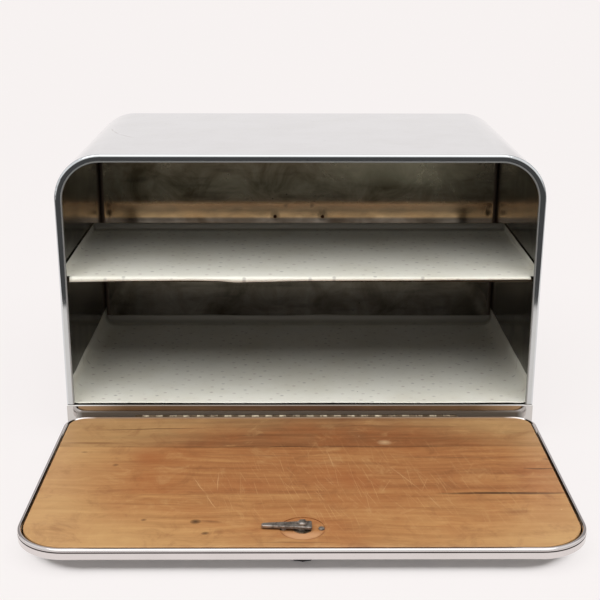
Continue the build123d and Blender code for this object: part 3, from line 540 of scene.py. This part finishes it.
# Maple strips, planed, glued and oiled, then worn by bread knives: warm brown and satin, scratched pale
def board_wood(name, pale, mid, dark, shift, marks):
    """Shift moves the pattern, so that no two strips are alike. The marks are lines of start, end, width,
    colour, depth and edge, in mm on the board's face, and a knot is a short wide one."""
    made, tree, place = blank_material(name)
    moved = add(tree, "ShaderNodeMapping", {"Vector": place, "Location": shift}).outputs[0]
    bend = add(
        tree, "ShaderNodeTexNoise", {"Vector": moved, "Scale": 1 / (120 * MM), "Detail": 2.0}
    ).outputs["Color"]
    waviness = 0.02
    bent = add(tree, "ShaderNodeMix", {0: waviness, 4: moved, 5: bend}, data_type="VECTOR").outputs[1]

    def grain(along, across, detail, roughness):
        """A pattern drawn out along the strip, with its lengths in mm."""
        stretched = add(
            tree,
            "ShaderNodeMapping",
            {"Vector": bent, "Scale": (1 / (along * MM), 1 / (across * MM), 1 / (across * MM))},
        ).outputs[0]
        return add(
            tree,
            "ShaderNodeTexNoise",
            {"Vector": stretched, "Scale": 1.0, "Detail": detail, "Roughness": roughness},
        ).outputs[0]

    growth = grain(130, 8, 7.0, 0.6)
    bands = grain(55, 2.6, 5.0, 0.6)
    fibres = grain(22, 0.9, 3.0, 0.5)
    blotches = add(
        tree,
        "ShaderNodeTexNoise",
        {"Vector": moved, "Scale": 1 / (60 * MM), "Detail": 5.0, "Roughness": 0.65},
    ).outputs[0]
    # less handled wood, honey coloured, lies towards the left, front and right edges
    handled = within(tree, place, (26, -128, 22), 238, (1.0, 0.6, 9))
    damp = add(
        tree,
        "ShaderNodeTexNoise",
        {"Vector": moved, "Scale": 1 / (26 * MM), "Detail": 6.0, "Roughness": 0.7, "Distortion": 0.8},
    ).outputs[0]
    ground = ((0.26, pale), (0.5, mid), (0.78, dark))
    tone = painted(
        tree,
        add(tree, "ShaderNodeValToRGB", {0: growth}, ground).outputs[0],
        (bands, dark, (0.47, 0.0), (0.7, 0.22)),
        (bands, pale, (0.3, 0.25), (0.46, 0.0)),
        (fibres, dark, (0.5, 0.0), (0.72, 0.26)),
        (blotches, "#9a5c33", (0.46, 0.0), (0.66, 0.5)),
        (handled, "#c39c68", (0.05, 0.55), (0.34, 0.0)),
        (handled, "#8f5a34", (0.3, 0.0), (0.65, 0.22)),
        (damp, "#7a4a2b", (0.52, 0.0), (0.68, 0.42)),
        (damp, "#c8a06c", (0.3, 0.34), (0.45, 0.0)),
        (spots(tree, place, 31, 0.8, 0.6), "#6b4125"),
    )
    face = waved(tree, place)
    for start, end, width, colour, depth, edge in marks:
        drawn = stroke(tree, face, start, end, width, edge)
        tone = painted(tree, tone, (overlap(tree, drawn, depth), colour))
    # knife scratches, thin and pale, nearly all in the middle and to the right
    worn = within(tree, place, (60, -140, 22), 150, (1.0, 0.62, 9), 0.5)
    for angle, pitch, length, width, share in (
        (-14, 3.0, 34, 0.17, 0.5),
        (-24, 4.0, 24, 0.15, 0.4),
        (-6, 4.6, 46, 0.14, 0.4),
        (18, 15.0, 30, 0.14, 0.3),
    ):
        cuts = scratches(tree, place, angle, pitch, length, width, share)
        tone = painted(tree, tone, (overlap(tree, cuts, worn), "#c9a170"))
    tone = painted(tree, tone, (spots(tree, place, 27, 0.45), "#e3c9a4"))
    looks = {
        "Base Color": latch_ring(tree, place, tone),
        "Roughness": add(tree, "ShaderNodeValToRGB", {0: growth}, ((0.3, 0.42), (0.75, 0.6))).outputs[0],
        "IOR": 1.45,
        "Normal": add(
            tree, "ShaderNodeBump", {"Height": bands, "Distance": 0.08 * MM, "Strength": 0.8}
        ).outputs[0],
    }
    return surfaced(made, tree, looks)


# Phenolic knob, moulded: near-black and glossy, with hand grease
def phenolic(name):
    made, tree, place = blank_material(name)
    grease = add(
        tree, "ShaderNodeTexNoise", {"Vector": place, "Scale": 1 / (6 * MM), "Detail": 4.0}
    ).outputs[0]
    looks = {
        "Base Color": painted(tree, "#131110", (grease, "#241f1b")),
        "Roughness": add(tree, "ShaderNodeValToRGB", {0: grease}, ((0.35, 0.18), (0.7, 0.4))).outputs[0],
        "IOR": 1.6,
    }
    return surfaced(made, tree, looks)


# Rubber button, moulded: matt black, dusted
def rubber(name):
    made, tree, place = blank_material(name)
    dust = add(
        tree, "ShaderNodeTexNoise", {"Vector": place, "Scale": 1 / (4 * MM), "Detail": 5.0}
    ).outputs[0]
    looks = {
        "Base Color": painted(tree, "#171615", (dust, "#4a453d", (0.5, 0.0), (0.8, 0.5))),
        "Roughness": 0.8,
    }
    return surfaced(made, tree, looks)


bright_chrome = chrome("chromed_steel", "#dfdbd9", haze=0.05, wave_height=0.03)
casing_chrome = casing_steel("chromed_steel_casing")
door_chrome = door_steel("chromed_steel_door")
apron_chrome = apron_steel("chromed_steel_apron")
wall_steel = pan_steel("tarnished_plated_steel", "#7d705a", "#463d2c", blotch=48, polish=0.16)
back_steel = tarnished_back("tarnished_back_steel")
zinc_steel = small_steel("zinc_plated_steel", "#a6a297", "#5a4d3c", 0.35)
# the hinge's two leaves: lit and shaded copies of one steel, the door leaf paler as painted glints, the body
# leaf darker as painted shade
hinge_steel_painted_glints = small_steel("hinge_steel_with_painted_glints", "#bfb29a", "#564231", 0.24)
hinge_steel_painted_shade = small_steel("hinge_steel_with_painted_shade", "#7f6f5b", "#5e4f3e", 0.45)
weld_steel = small_steel("heat_stained_weld_steel", "#8d867a", "#4b423a", 0.45)
rusted_steel = small_steel("rusted_steel", "#5b3a22", "#2b170d", 0.6)
cam_iron = small_steel("bronzed_cast_iron", "#b3aaa1", "#544a42", 0.42)
paper = liner_paper("coated_shelf_paper")
# colours of marks on the board that come more than once
OPEN_JOINT = "#3a2213"
DARK_JOINT = "#2b180d"
SMALL_KNOT = "#54301b"
PALE_CUT = "#d6b183"
BROWN_GRAIN = "#5a3820"
RED_GRAIN = "#68402a"
# the marks of use and growth on each strip, from the hinge side to the latch side, and two darker strips
# along the rear edge by the hinge
hinge_side_marks = (
    ((-207, -68.2), (207, -68.2), 2.2, OPEN_JOINT, 0.75, 0.6),
    ((-195, -34), (-66, -28), 2.4, "#4f2f1b", 0.8, 0.7),
    ((-209, -60), (-150, -61), 5.0, "#6a3a1f", 0.6, 0.7),
    ((-30, -22), (150, -27), 7.0, "#5c3a22", 0.45, 1.0),
    ((-180, -18), (60, -15), 9.0, "#65422a", 0.35, 1.0),
    ((20, -50), (205, -53), 6.0, BROWN_GRAIN, 0.4, 1.0),
    ((-60, -45), (60, -43), 5.0, BROWN_GRAIN, 0.35, 1.0),
    ((66, -60), (80, -61), 12.0, "#d3b287", 0.6, 0.8),
    # two darker strips along the rear edge, by the hinge
    ((-190, -9), (-40, -9), 10.0, "#6a3c22", 0.3, 0.8),
    ((-110, -9), (215, -10), 13.0, "#5c2f18", 0.55, 0.8),
)
middle_marks = (
    ((-207, -69.4), (207, -69.4), 1.8, OPEN_JOINT, 0.6, 0.7),
    ((183, -111.5), (212, -111.5), 2.2, DARK_JOINT, 0.9, 0.4),
    ((105, -154.8), (212, -155.0), 3.0, DARK_JOINT, 0.9, 0.35),
    ((-145, -75), (-118, -102), 34.0, "#934f2a", 0.5, 1.0),
    ((-10, -100), (70, -150), 60.0, "#94512c", 0.4, 1.0),
    ((-75, -141), (-10, -141), 30.0, "#9a5a33", 0.35, 1.0),
    ((-158, -104), (-152, -104), 5.0, SMALL_KNOT, 0.7, 0.7),
    ((-188, -79), (-181, -79), 4.0, SMALL_KNOT, 0.6, 0.7),
    ((202, -93), (211, -93.5), 4.5, SMALL_KNOT, 0.6, 0.7),
    ((60, -88), (190, -92), 5.0, RED_GRAIN, 0.45, 1.0),
    ((-100, -84), (30, -88), 4.0, RED_GRAIN, 0.4, 1.0),
    ((22, -71), (28, -114), 0.9, PALE_CUT, 0.5, 0.7),
    ((69, -99), (98, -156), 0.9, PALE_CUT, 0.5, 0.7),
    ((-88, -126), (-76, -156), 0.9, PALE_CUT, 0.55, 0.7),
    ((-68, -117), (-67, -153), 0.9, PALE_CUT, 0.55, 0.7),
)
latch_side_marks = (
    ((105, -156.2), (212, -156.2), 2.2, DARK_JOINT, 0.85, 0.35),
    ((-207, -156.4), (110, -156.4), 1.0, "#5c3820", 0.4, 0.7),
    ((-85, -201), (-76, -201), 7.5, "#2d1a0f", 0.9, 0.5),
    ((-80, -199), (-58, -203), 5.0, "#6a4126", 0.6, 0.8),
    ((-122, -198), (-117, -198), 4.5, SMALL_KNOT, 0.8, 0.7),
    ((-75, -218.5), (-69, -218.5), 5.0, "#3c2414", 0.8, 0.6),
    ((-66, -219), (-60, -212), 9.0, "#7a4c2e", 0.5, 0.9),
    ((148, -186), (178, -186), 14.0, "#7d4f30", 0.55, 1.0),
    ((96, -178), (160, -196), 22.0, "#8a5833", 0.35, 1.0),
    ((-40, -232), (30, -231.5), 3.0, "#4a2c19", 0.5, 0.8),
    ((-180, -170), (-60, -176), 4.0, "#7a4c2b", 0.4, 1.0),
    ((-76, -156), (-65, -182), 0.9, PALE_CUT, 0.55, 0.7),
    ((98, -156), (108, -183), 0.9, PALE_CUT, 0.5, 0.7),
)
honey_plank = board_wood("oiled_maple", "#c39560", "#b07e4e", "#8d5d34", (0.0, 0.0, 0.0), latch_side_marks)
red_plank = board_wood(
    "oiled_maple_redder", "#bb8a57", "#a67145", "#7f4d2b", (0.31, 0.12, 0.0), middle_marks
)
back_plank = board_wood(
    "oiled_maple_browner", "#a1734a", "#885a38", "#633f25", (0.7, 0.41, 0.0), hinge_side_marks
)
knob_black = phenolic("moulded_phenolic")
foot_rubber = rubber("moulded_rubber")

finishes = {
    casing_chrome: ("body_wrap",),
    door_chrome: ("door_skin",),
    bright_chrome: ("latch_escutcheon",),
    apron_chrome: ("front_apron",),
    back_steel: ("back_panel",),
    wall_steel: ("floor_pan", "shelf_pan", "shelf_ledge_left", "shelf_ledge_right"),
    rusted_steel: ("back_rivets",),
    zinc_steel: ("foot_rivets", "hinge_nails", "latch_bush", "latch_spindle"),
    hinge_steel_painted_glints: ("hinge_door_leaf", "hinge_pin"),
    hinge_steel_painted_shade: ("hinge_body_leaf", "hinge_rivets"),
    cam_iron: ("latch_cam", "latch_nut", "latch_screws"),
    paper: ("shelf_liner", "floor_liner"),
    back_plank: ("board_plank_hinge_side",),
    red_plank: ("board_plank_middle",),
    honey_plank: ("board_plank_latch_side",),
    knob_black: ("latch_knob",),
    foot_rubber: ("foot_front_left", "foot_front_right", "foot_rear_left", "foot_rear_right"),
}
for finish, names in finishes.items():
    for name in names:
        mesh = nodes[name].data
        mesh.materials.clear()
        mesh.materials.append(finish)


def link(name, content):
    """An object with this mesh, lamp or camera, in the scene."""
    made = bpy.data.objects.new(name, content)
    bpy.context.scene.collection.objects.link(made)
    return made


def turned_up(half, bend, rise, flat_steps):
    """Offsets from the middle outwards and their heights, for an edge bent up by rise."""
    bend_steps = 6
    points = [((half - bend) * i / flat_steps, 0.0) for i in range(flat_steps + 1)]
    for i in range(1, bend_steps + 1):
        turn = math.pi / 2 * i / bend_steps
        points.append((half - bend + bend * math.sin(turn), bend * (1 - math.cos(turn))))
    points.append((half, rise))
    return points


# how far the shelf paper hangs over the shelf's front edge, by the place across it: (across, fold) in mm
FOLD_CUT = (
    (-207, 4.3),
    (-150, 3.3),
    (-95, 3.0),
    (-75, 3.4),
    (-56, 4.7),
    (-38, 4.2),
    (0, 3.4),
    (95, 2.9),
    (150, 2.4),
    (207, 2.0),
)
FOLD_LONGEST = max(fold for _, fold in FOLD_CUT) * MM
PAPER_THICKNESS = 0.35 * MM
# the part's own liners are solids this thick, and the paper's upper face follows theirs
LINER_SOLID = 0.7 * MM


def hanging(x):
    """The fold's depth at x, eased between the measured places."""
    for (x0, d0), (x1, d1) in zip(FOLD_CUT, FOLD_CUT[1:]):
        if x <= x1 * MM:
            share = min(1.0, max(0.0, (x - x0 * MM) / ((x1 - x0) * MM)))
            return (d0 + (d1 - d0) * share * share * (3 - 2 * share)) * MM
    return FOLD_CUT[-1][1] * MM


def laid_liner(name, node, across, along, wave, edge_wave, fold=None):
    """A paper sheet laid in a tray: sides and rear turned up, front cut straight or folded down."""
    half, side_bend, side_rise = across
    front, rear, rear_bend, rear_rise, top = along
    side = turned_up(half, side_bend, side_rise, 90)
    columns = [(-x, z) for x, z in reversed(side[1:])] + side
    back = turned_up(rear - front, rear_bend, rear_rise, 80)
    rows = [(front + y, z) for y, z in back]
    if fold:
        fold_bend, fold_half = fold
        fold_steps = 5
        rows = [row for row in rows if row[0] > front + fold_bend]
        for i in range(fold_steps + 1):
            turn = math.pi / 2 * i / fold_steps
            rows.insert(
                0, (front + fold_bend * (1 - math.sin(turn)), -fold_bend * (1 - math.cos(turn)))
            )
        rows.insert(0, (front, -FOLD_LONGEST))
    # the sheet's waves and its edges' ripples, in metres, and how near an edge the waves die out
    wave_width, wave_length, ripple_length, calm = 0.09, 0.07, 0.05, 0.02
    grid = bmesh.new()
    made = []
    for y, rear_z in rows:
        line = []
        for x, side_z in columns:
            z = max(side_z, rear_z) if rear_z >= 0 else rear_z + side_z
            lift = noise.noise((x / wave_width, y / wave_length, 0.3)) * wave + wave
            flatness = min(1.0, (half - abs(x)) / calm, max(0.0, rear - y) / calm)
            height = z + lift * max(0.0, flatness)
            if z > 0 and (side_z > side_bend or rear_z > rear_bend):
                height += noise.noise((x / ripple_length, y / ripple_length, 4.1)) * edge_wave
            if fold and rear_z < 0:
                height = z * hanging(x) / FOLD_LONGEST
            line.append(grid.verts.new((x, y, top + height)))
        made.append(line)
    for lower, upper in zip(made, made[1:]):
        for i in range(len(columns) - 1):
            corners = (lower[i], lower[i + 1], upper[i + 1], upper[i])
            beside_fold = fold and max(abs(c.co.x) for c in corners) > fold_half
            if not (beside_fold and corners[0].co.y < front + fold_bend):
                grid.faces.new(corners)
    bmesh.ops.remove_doubles(grid, verts=grid.verts, dist=0.02 * MM)
    bmesh.ops.dissolve_degenerate(grid, dist=0.01 * MM, edges=grid.edges)
    loose = [v for v in grid.verts if not v.link_faces]
    bmesh.ops.delete(grid, geom=loose, context="VERTS")
    mesh = bpy.data.meshes.new(name)
    grid.to_mesh(mesh)
    grid.free()
    mesh.shade_smooth()
    mesh.materials.append(paper)
    piece = link(name, mesh)
    thick = piece.modifiers.new("paper", "SOLIDIFY")
    thick.thickness = PAPER_THICKNESS
    thick.offset = -1.0
    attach(piece, "cabinet")
    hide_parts(node)
    return piece


shelf_low, shelf_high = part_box("shelf_liner")
shelf_upstand = 7.0 * MM
shelf_top = shelf_high.z - shelf_upstand + LINER_SOLID
shelf_paper = laid_liner(
    "shelf_paper",
    "shelf_liner",
    across=(shelf_high.x - 0.3 * MM, 1.5 * MM, 6.3 * MM),
    along=(shelf_low.y, shelf_high.y - 0.3 * MM, 1.5 * MM, 6.3 * MM, shelf_top),
    wave=0.25 * MM,
    edge_wave=0.5 * MM,
    fold=(2.3 * MM, 206.6 * MM),
)
floor_low, floor_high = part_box("floor_liner")
floor_top = floor_low.z + LINER_SOLID
floor_paper = laid_liner(
    "floor_paper",
    "floor_liner",
    across=(floor_high.x - 0.4 * MM, 9.0 * MM, 17.5 * MM),
    along=(floor_low.y, floor_high.y - 0.4 * MM, 7.0 * MM, 8.5 * MM, floor_top),
    wave=0.35 * MM,
    edge_wave=1.3 * MM,
)


def weld_row_tree(finish):
    """A row of spot-weld marks from one point to another: shallow raised discs, none quite alike."""
    group = bpy.data.node_groups.new("weld_row", "GeometryNodeTree")
    for name, kind, value in (
        ("Row Start", "NodeSocketVector", (0, 0, 0)),
        ("Row End", "NodeSocketVector", (0, 0, 0)),
        ("Facing", "NodeSocketRotation", (0, 0, 0)),
        ("Weld Count", "NodeSocketInt", 6),
        ("Foot Radius", "NodeSocketFloat", 2.6 * MM),
        ("Top Radius", "NodeSocketFloat", 1.9 * MM),
        ("Weld Height", "NodeSocketFloat", 0.25 * MM),
        ("Wander", "NodeSocketFloat", 0.8 * MM),
        ("Seed", "NodeSocketInt", 3),
    ):
        socket = group.interface.new_socket(name=name, in_out="INPUT", socket_type=kind)
        socket.default_value = value
    group.interface.new_socket(name="Geometry", in_out="OUTPUT", socket_type="NodeSocketGeometry")
    given = add(group, "NodeGroupInput").outputs
    line = add(
        group, "GeometryNodeCurvePrimitiveLine", {"Start": given["Row Start"], "End": given["Row End"]}
    ).outputs[0]
    points = add(
        group, "GeometryNodeCurveToPoints", {"Curve": line, "Count": given["Weld Count"]}, mode="COUNT"
    ).outputs["Points"]
    direction = add(
        group, "ShaderNodeVectorMath", {0: given["Row End"], 1: given["Row Start"]}, operation="SUBTRACT"
    ).outputs[0]
    along = add(group, "ShaderNodeVectorMath", {0: direction}, operation="NORMALIZE").outputs[0]
    drift = add(
        group,
        "FunctionNodeRandomValue",
        {"Min": -1.0, "Max": 1.0, "Seed": given["Seed"]},
        data_type="FLOAT",
    ).outputs["Value"]
    drifted = overlap(group, drift, given["Wander"])
    offset = add(group, "ShaderNodeVectorMath", {0: along, "Scale": drifted}, operation="SCALE").outputs[0]
    moved = add(group, "GeometryNodeSetPosition", {"Geometry": points, "Offset": offset}).outputs[0]
    disc = add(
        group,
        "GeometryNodeMeshCone",
        {
            "Vertices": 14,
            "Radius Top": given["Top Radius"],
            "Radius Bottom": given["Foot Radius"],
            "Depth": given["Weld Height"],
        },
    ).outputs["Mesh"]
    size = add(
        group,
        "FunctionNodeRandomValue",
        {"Min": 0.88, "Max": 1.0, "Seed": given["Seed"]},
        data_type="FLOAT",
    ).outputs["Value"]
    welds = add(
        group,
        "GeometryNodeInstanceOnPoints",
        {"Points": moved, "Instance": disc, "Rotation": given["Facing"], "Scale": size},
    ).outputs[0]
    solid = add(group, "GeometryNodeRealizeInstances", {0: welds}).outputs[0]
    dressed = add(group, "GeometryNodeSetMaterial", {"Geometry": solid, "Material": finish}).outputs[0]
    add(group, "NodeGroupOutput", {0: dressed})
    return group


def weld_rows():
    """Every row of welds in the casing, baked into one piece of the cabinet."""
    tree = weld_row_tree(weld_steel)
    sockets = {
        item.name: item.identifier for item in tree.interface.items_tree if item.in_out == "INPUT"
    }
    rows = []
    # along the sides: the node, the sides it has, the row's height, its distance from the ends, its welds
    for node, sides, height, inset, count in (
        ("shelf_ledge_left", (-1,), 143.5, 14, 6),
        ("shelf_ledge_right", (1,), 143.5, 14, 6),
        ("floor_pan", (-1, 1), 26, 24, 8),
    ):
        low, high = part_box(node)
        for side in sides:
            ends = [(0.0, low.y + inset * MM, height * MM), (0.0, high.y - inset * MM, height * MM)]
            rows.append((node, ends, Vector((side, 0, 0)), count))
    # along the front and the rear of the floor
    low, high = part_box("floor_pan")
    half_row, height, count = 188, 26, 12
    for side in (-1, 1):
        ends = [(x * half_row * MM, (low.y + high.y) / 2, height * MM) for x in (-1, 1)]
        rows.append(("floor_pan", ends, Vector((0, side, 0)), count))
    first_seed = 11
    sunk = 0.05 * MM
    joined = bmesh.new()
    for number, (node, ends, toward, count) in enumerate(rows):
        surface = BVHTree.FromPolygons(
            [v.co for v in nodes[node].data.vertices], [p.vertices for p in nodes[node].data.polygons]
        )
        seats = [surface.ray_cast(Vector(end), toward)[0] + toward * sunk for end in ends]
        blank = link("weld_row", bpy.data.meshes.new("weld_row"))
        made = blank.modifiers.new("welds", "NODES")
        made.node_group = tree
        for name, value in (
            ("Row Start", seats[0]),
            ("Row End", seats[1]),
            ("Facing", (-toward).to_track_quat("Z", "Y").to_euler()),
            ("Weld Count", count),
            ("Seed", first_seed + number),
        ):
            made[sockets[name]] = value
        seen = blank.evaluated_get(bpy.context.evaluated_depsgraph_get())
        baked = bpy.data.meshes.new_from_object(seen)
        joined.from_mesh(baked)
        bpy.data.objects.remove(blank)
    mesh = bpy.data.meshes.new("weld_marks")
    joined.to_mesh(mesh)
    joined.free()
    mesh.materials.append(weld_steel)
    piece = link("weld_marks", mesh)
    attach(piece, "cabinet")


weld_rows()


# Floor and backdrop in one sweep, white to the camera, with the object's shadow kept near it
def stage_material(seen_low, seen_high):
    made = bpy.data.materials.new("studio_paper")
    made.use_nodes = True
    tree = made.node_tree
    tree.nodes.clear()
    place = add(tree, "ShaderNodeNewGeometry").outputs["Position"]
    rays = add(tree, "ShaderNodeLightPath").outputs
    across, along, _ = add(tree, "ShaderNodeSeparateXYZ", {0: place}).outputs
    # mirrors see a dark room in front of the paper's lit part and far to its sides, in metres
    lit_from = -0.39
    aside_from, aside_to = 0.7, 1.3
    ahead = add(tree, "ShaderNodeMath", {0: along, 1: lit_from}, operation="LESS_THAN").outputs[0]
    sideways = add(tree, "ShaderNodeMath", {0: across}, operation="ABSOLUTE").outputs[0]
    far_aside = add(
        tree,
        "ShaderNodeMapRange",
        {0: sideways, 1: aside_from, 2: aside_to, 3: 0.0, 4: 0.7},
        interpolation_type="SMOOTHSTEP",
    ).outputs[0]
    beyond = add(tree, "ShaderNodeMath", {0: ahead, 1: far_aside}, operation="MAXIMUM").outputs[0]
    straight = add(
        tree, "ShaderNodeMath", {0: rays["Diffuse Depth"], 1: 0.5}, operation="LESS_THAN"
    ).outputs[0]
    mirrored = overlap(tree, rays["Is Glossy Ray"], straight)
    unseen = overlap(tree, beyond, mirrored)
    seen = add(
        tree, "ShaderNodeMath", {0: rays["Is Camera Ray"], 1: mirrored}, operation="MAXIMUM"
    ).outputs[0]
    # how far the spot lies outside the ground that the object hides from the light, door let down
    shaded = 14 * MM
    corner = 40 * MM
    inset = shaded + corner
    outline_middle = (seen_low.x + seen_high.x) / 2, (seen_low.y + seen_high.y) / 2
    outline_half = (seen_high.x - seen_low.x) / 2 - inset, (seen_high.y - seen_low.y) / 2 - inset
    centred = add(
        tree, "ShaderNodeVectorMath", {0: place, 1: (*outline_middle, 0.0)}, operation="SUBTRACT"
    ).outputs[0]
    reach = past_box(tree, centred, (*outline_half, 0.0))
    away = add(tree, "ShaderNodeMath", {0: reach, 1: corner}, operation="SUBTRACT", use_clamp=True).outputs[0]
    # how white it shows, by that distance in metres
    whiteness = ((0.0, 0.1), (0.004, 0.55), (0.009, 0.88), (0.3, 0.97))
    lift = add(tree, "ShaderNodeValToRGB", {0: away}, whiteness).outputs[0]
    glow = overlap(tree, lift, seen)
    full = add(tree, "ShaderNodeMath", {0: glow, 1: unseen}, operation="MAXIMUM").outputs[0]
    glow_tone = painted(tree, "#f9f4f3", (unseen, "#4f4f50"))
    matt = add(tree, "ShaderNodeBsdfDiffuse", {0: "#e4e1df"}).outputs[0]
    shine = add(tree, "ShaderNodeEmission", {0: glow_tone, 1: 1.0}).outputs[0]
    both = add(tree, "ShaderNodeMixShader", {0: full, 1: matt, 2: shine}).outputs[0]
    add(tree, "ShaderNodeOutputMaterial", {0: both})
    return made


def build_stage():
    """The sweep's profile, in metres, drawn out sideways."""
    half_width = 5.0
    front = -3.0
    bend_start = 1.6
    bend = 1.2
    wall_top = 4.0
    steps = 16
    profile = [(front, 0.0), (bend_start, 0.0)]
    for i in range(1, steps + 1):
        turn = math.pi / 2 * i / steps
        profile.append((bend_start + bend * math.sin(turn), bend * (1 - math.cos(turn))))
    profile.append((bend_start + bend, wall_top))
    verts = [(x, y, z) for y, z in profile for x in (-half_width, half_width)]
    faces = [(2 * i, 2 * i + 1, 2 * i + 3, 2 * i + 2) for i in range(len(profile) - 1)]
    mesh = bpy.data.meshes.new("studio_sweep")
    mesh.from_pydata(verts, [], faces)
    mesh.shade_smooth()
    mesh.materials.append(stage_material(*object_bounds()))
    link("studio_sweep", mesh)


build_stage()


def soft_light(name, place, size, power, aim, mirrored):
    """A lamp of this size in metres and power in watts, turned to its aim; mirrors show it or they don't."""
    lamp = bpy.data.lights.new(name, "AREA")
    lamp.shape = "RECTANGLE"
    lamp.size, lamp.size_y = size
    lamp.energy = power
    rig = link(name, lamp)
    rig.location = place
    rig.rotation_euler = (Vector(aim) - Vector(place)).to_track_quat("-Z", "Y").to_euler()
    rig.visible_glossy = mirrored


opening = (0, -0.05, 0.1)
soft_light("overhead_softbox", (0.0, -0.75, 1.8), (2.4, 1.9), power=37, aim=opening, mirrored=False)
soft_light("overhead_softbox_seen", (0.0, -0.75, 1.75), (2.4, 1.9), power=14, aim=opening, mirrored=True)
soft_light("front_fill", (0.0, -2.6, 1.0), (2.0, 1.0), power=6.5, aim=(0, 0.2, 0.1), mirrored=False)


# The room's pale walls: bright to the camera and to mirrors, dim as a light
def build_surround():
    world = bpy.data.worlds.new("studio_surround")
    bpy.context.scene.world = world
    world.use_nodes = True
    tree = world.node_tree
    tree.nodes.clear()
    rays = add(tree, "ShaderNodeLightPath").outputs
    mirrored = add(
        tree, "ShaderNodeMath", {0: rays["Is Camera Ray"], 1: rays["Is Glossy Ray"]}, operation="MAXIMUM"
    ).outputs[0]
    straight = add(
        tree, "ShaderNodeMath", {0: rays["Diffuse Depth"], 1: 0.5}, operation="LESS_THAN"
    ).outputs[0]
    to_eye = overlap(tree, mirrored, straight)
    # a darker room low down at both sides, for mirrors only
    gaze = add(tree, "ShaderNodeTexCoord").outputs["Generated"]
    across, _, upward = add(tree, "ShaderNodeSeparateXYZ", {0: gaze}).outputs
    aside = add(tree, "ShaderNodeMath", {0: across}, operation="ABSOLUTE").outputs[0]
    to_side = add(tree, "ShaderNodeMapRange", {0: aside, 1: 0.6, 2: 0.85}).outputs[0]
    low_down = add(tree, "ShaderNodeMapRange", {0: upward, 1: 0.02, 2: 0.22, 3: 0.6, 4: 0.0}).outputs[0]
    shade = overlap(tree, to_side, low_down, rays["Is Glossy Ray"])
    clear = add(tree, "ShaderNodeMath", {0: 1.0, 1: shade}, operation="SUBTRACT").outputs[0]
    strength = add(tree, "ShaderNodeMapRange", {0: to_eye, 3: 0.2, 4: clear}).outputs[0]
    surround = add(tree, "ShaderNodeBackground", {0: "#f4f4f5", 1: strength}).outputs[0]
    add(tree, "ShaderNodeOutputWorld", {0: surround})


build_surround()

# Camera, from the fit of the photograph's lines
photo_size = 600
focal_px = 1143.57
sensor_mm = 36.0
camera_place = Vector((-0.0086, -0.96959, 0.4422))
pitch = math.radians(17.66)
yaw = math.radians(0.48)
roll = math.radians(0.14)
ahead = Vector((math.sin(yaw) * math.cos(pitch), math.cos(yaw) * math.cos(pitch), -math.sin(pitch)))
level_right = Vector((math.cos(yaw), -math.sin(yaw), 0))
level_up = level_right.cross(ahead)
right = level_right * math.cos(roll) + level_up * math.sin(roll)
up = level_up * math.cos(roll) - level_right * math.sin(roll)
lens = bpy.data.cameras.new("photo_camera")
lens.lens = focal_px / photo_size * sensor_mm
lens.sensor_width = sensor_mm
lens.clip_end = 50
camera = link("photo_camera", lens)
camera.matrix_world = Matrix.Translation(camera_place) @ Matrix((right, up, -ahead)).transposed().to_4x4()
bpy.context.scene.camera = camera

bpy.context.scene.view_settings.view_transform = "Standard"
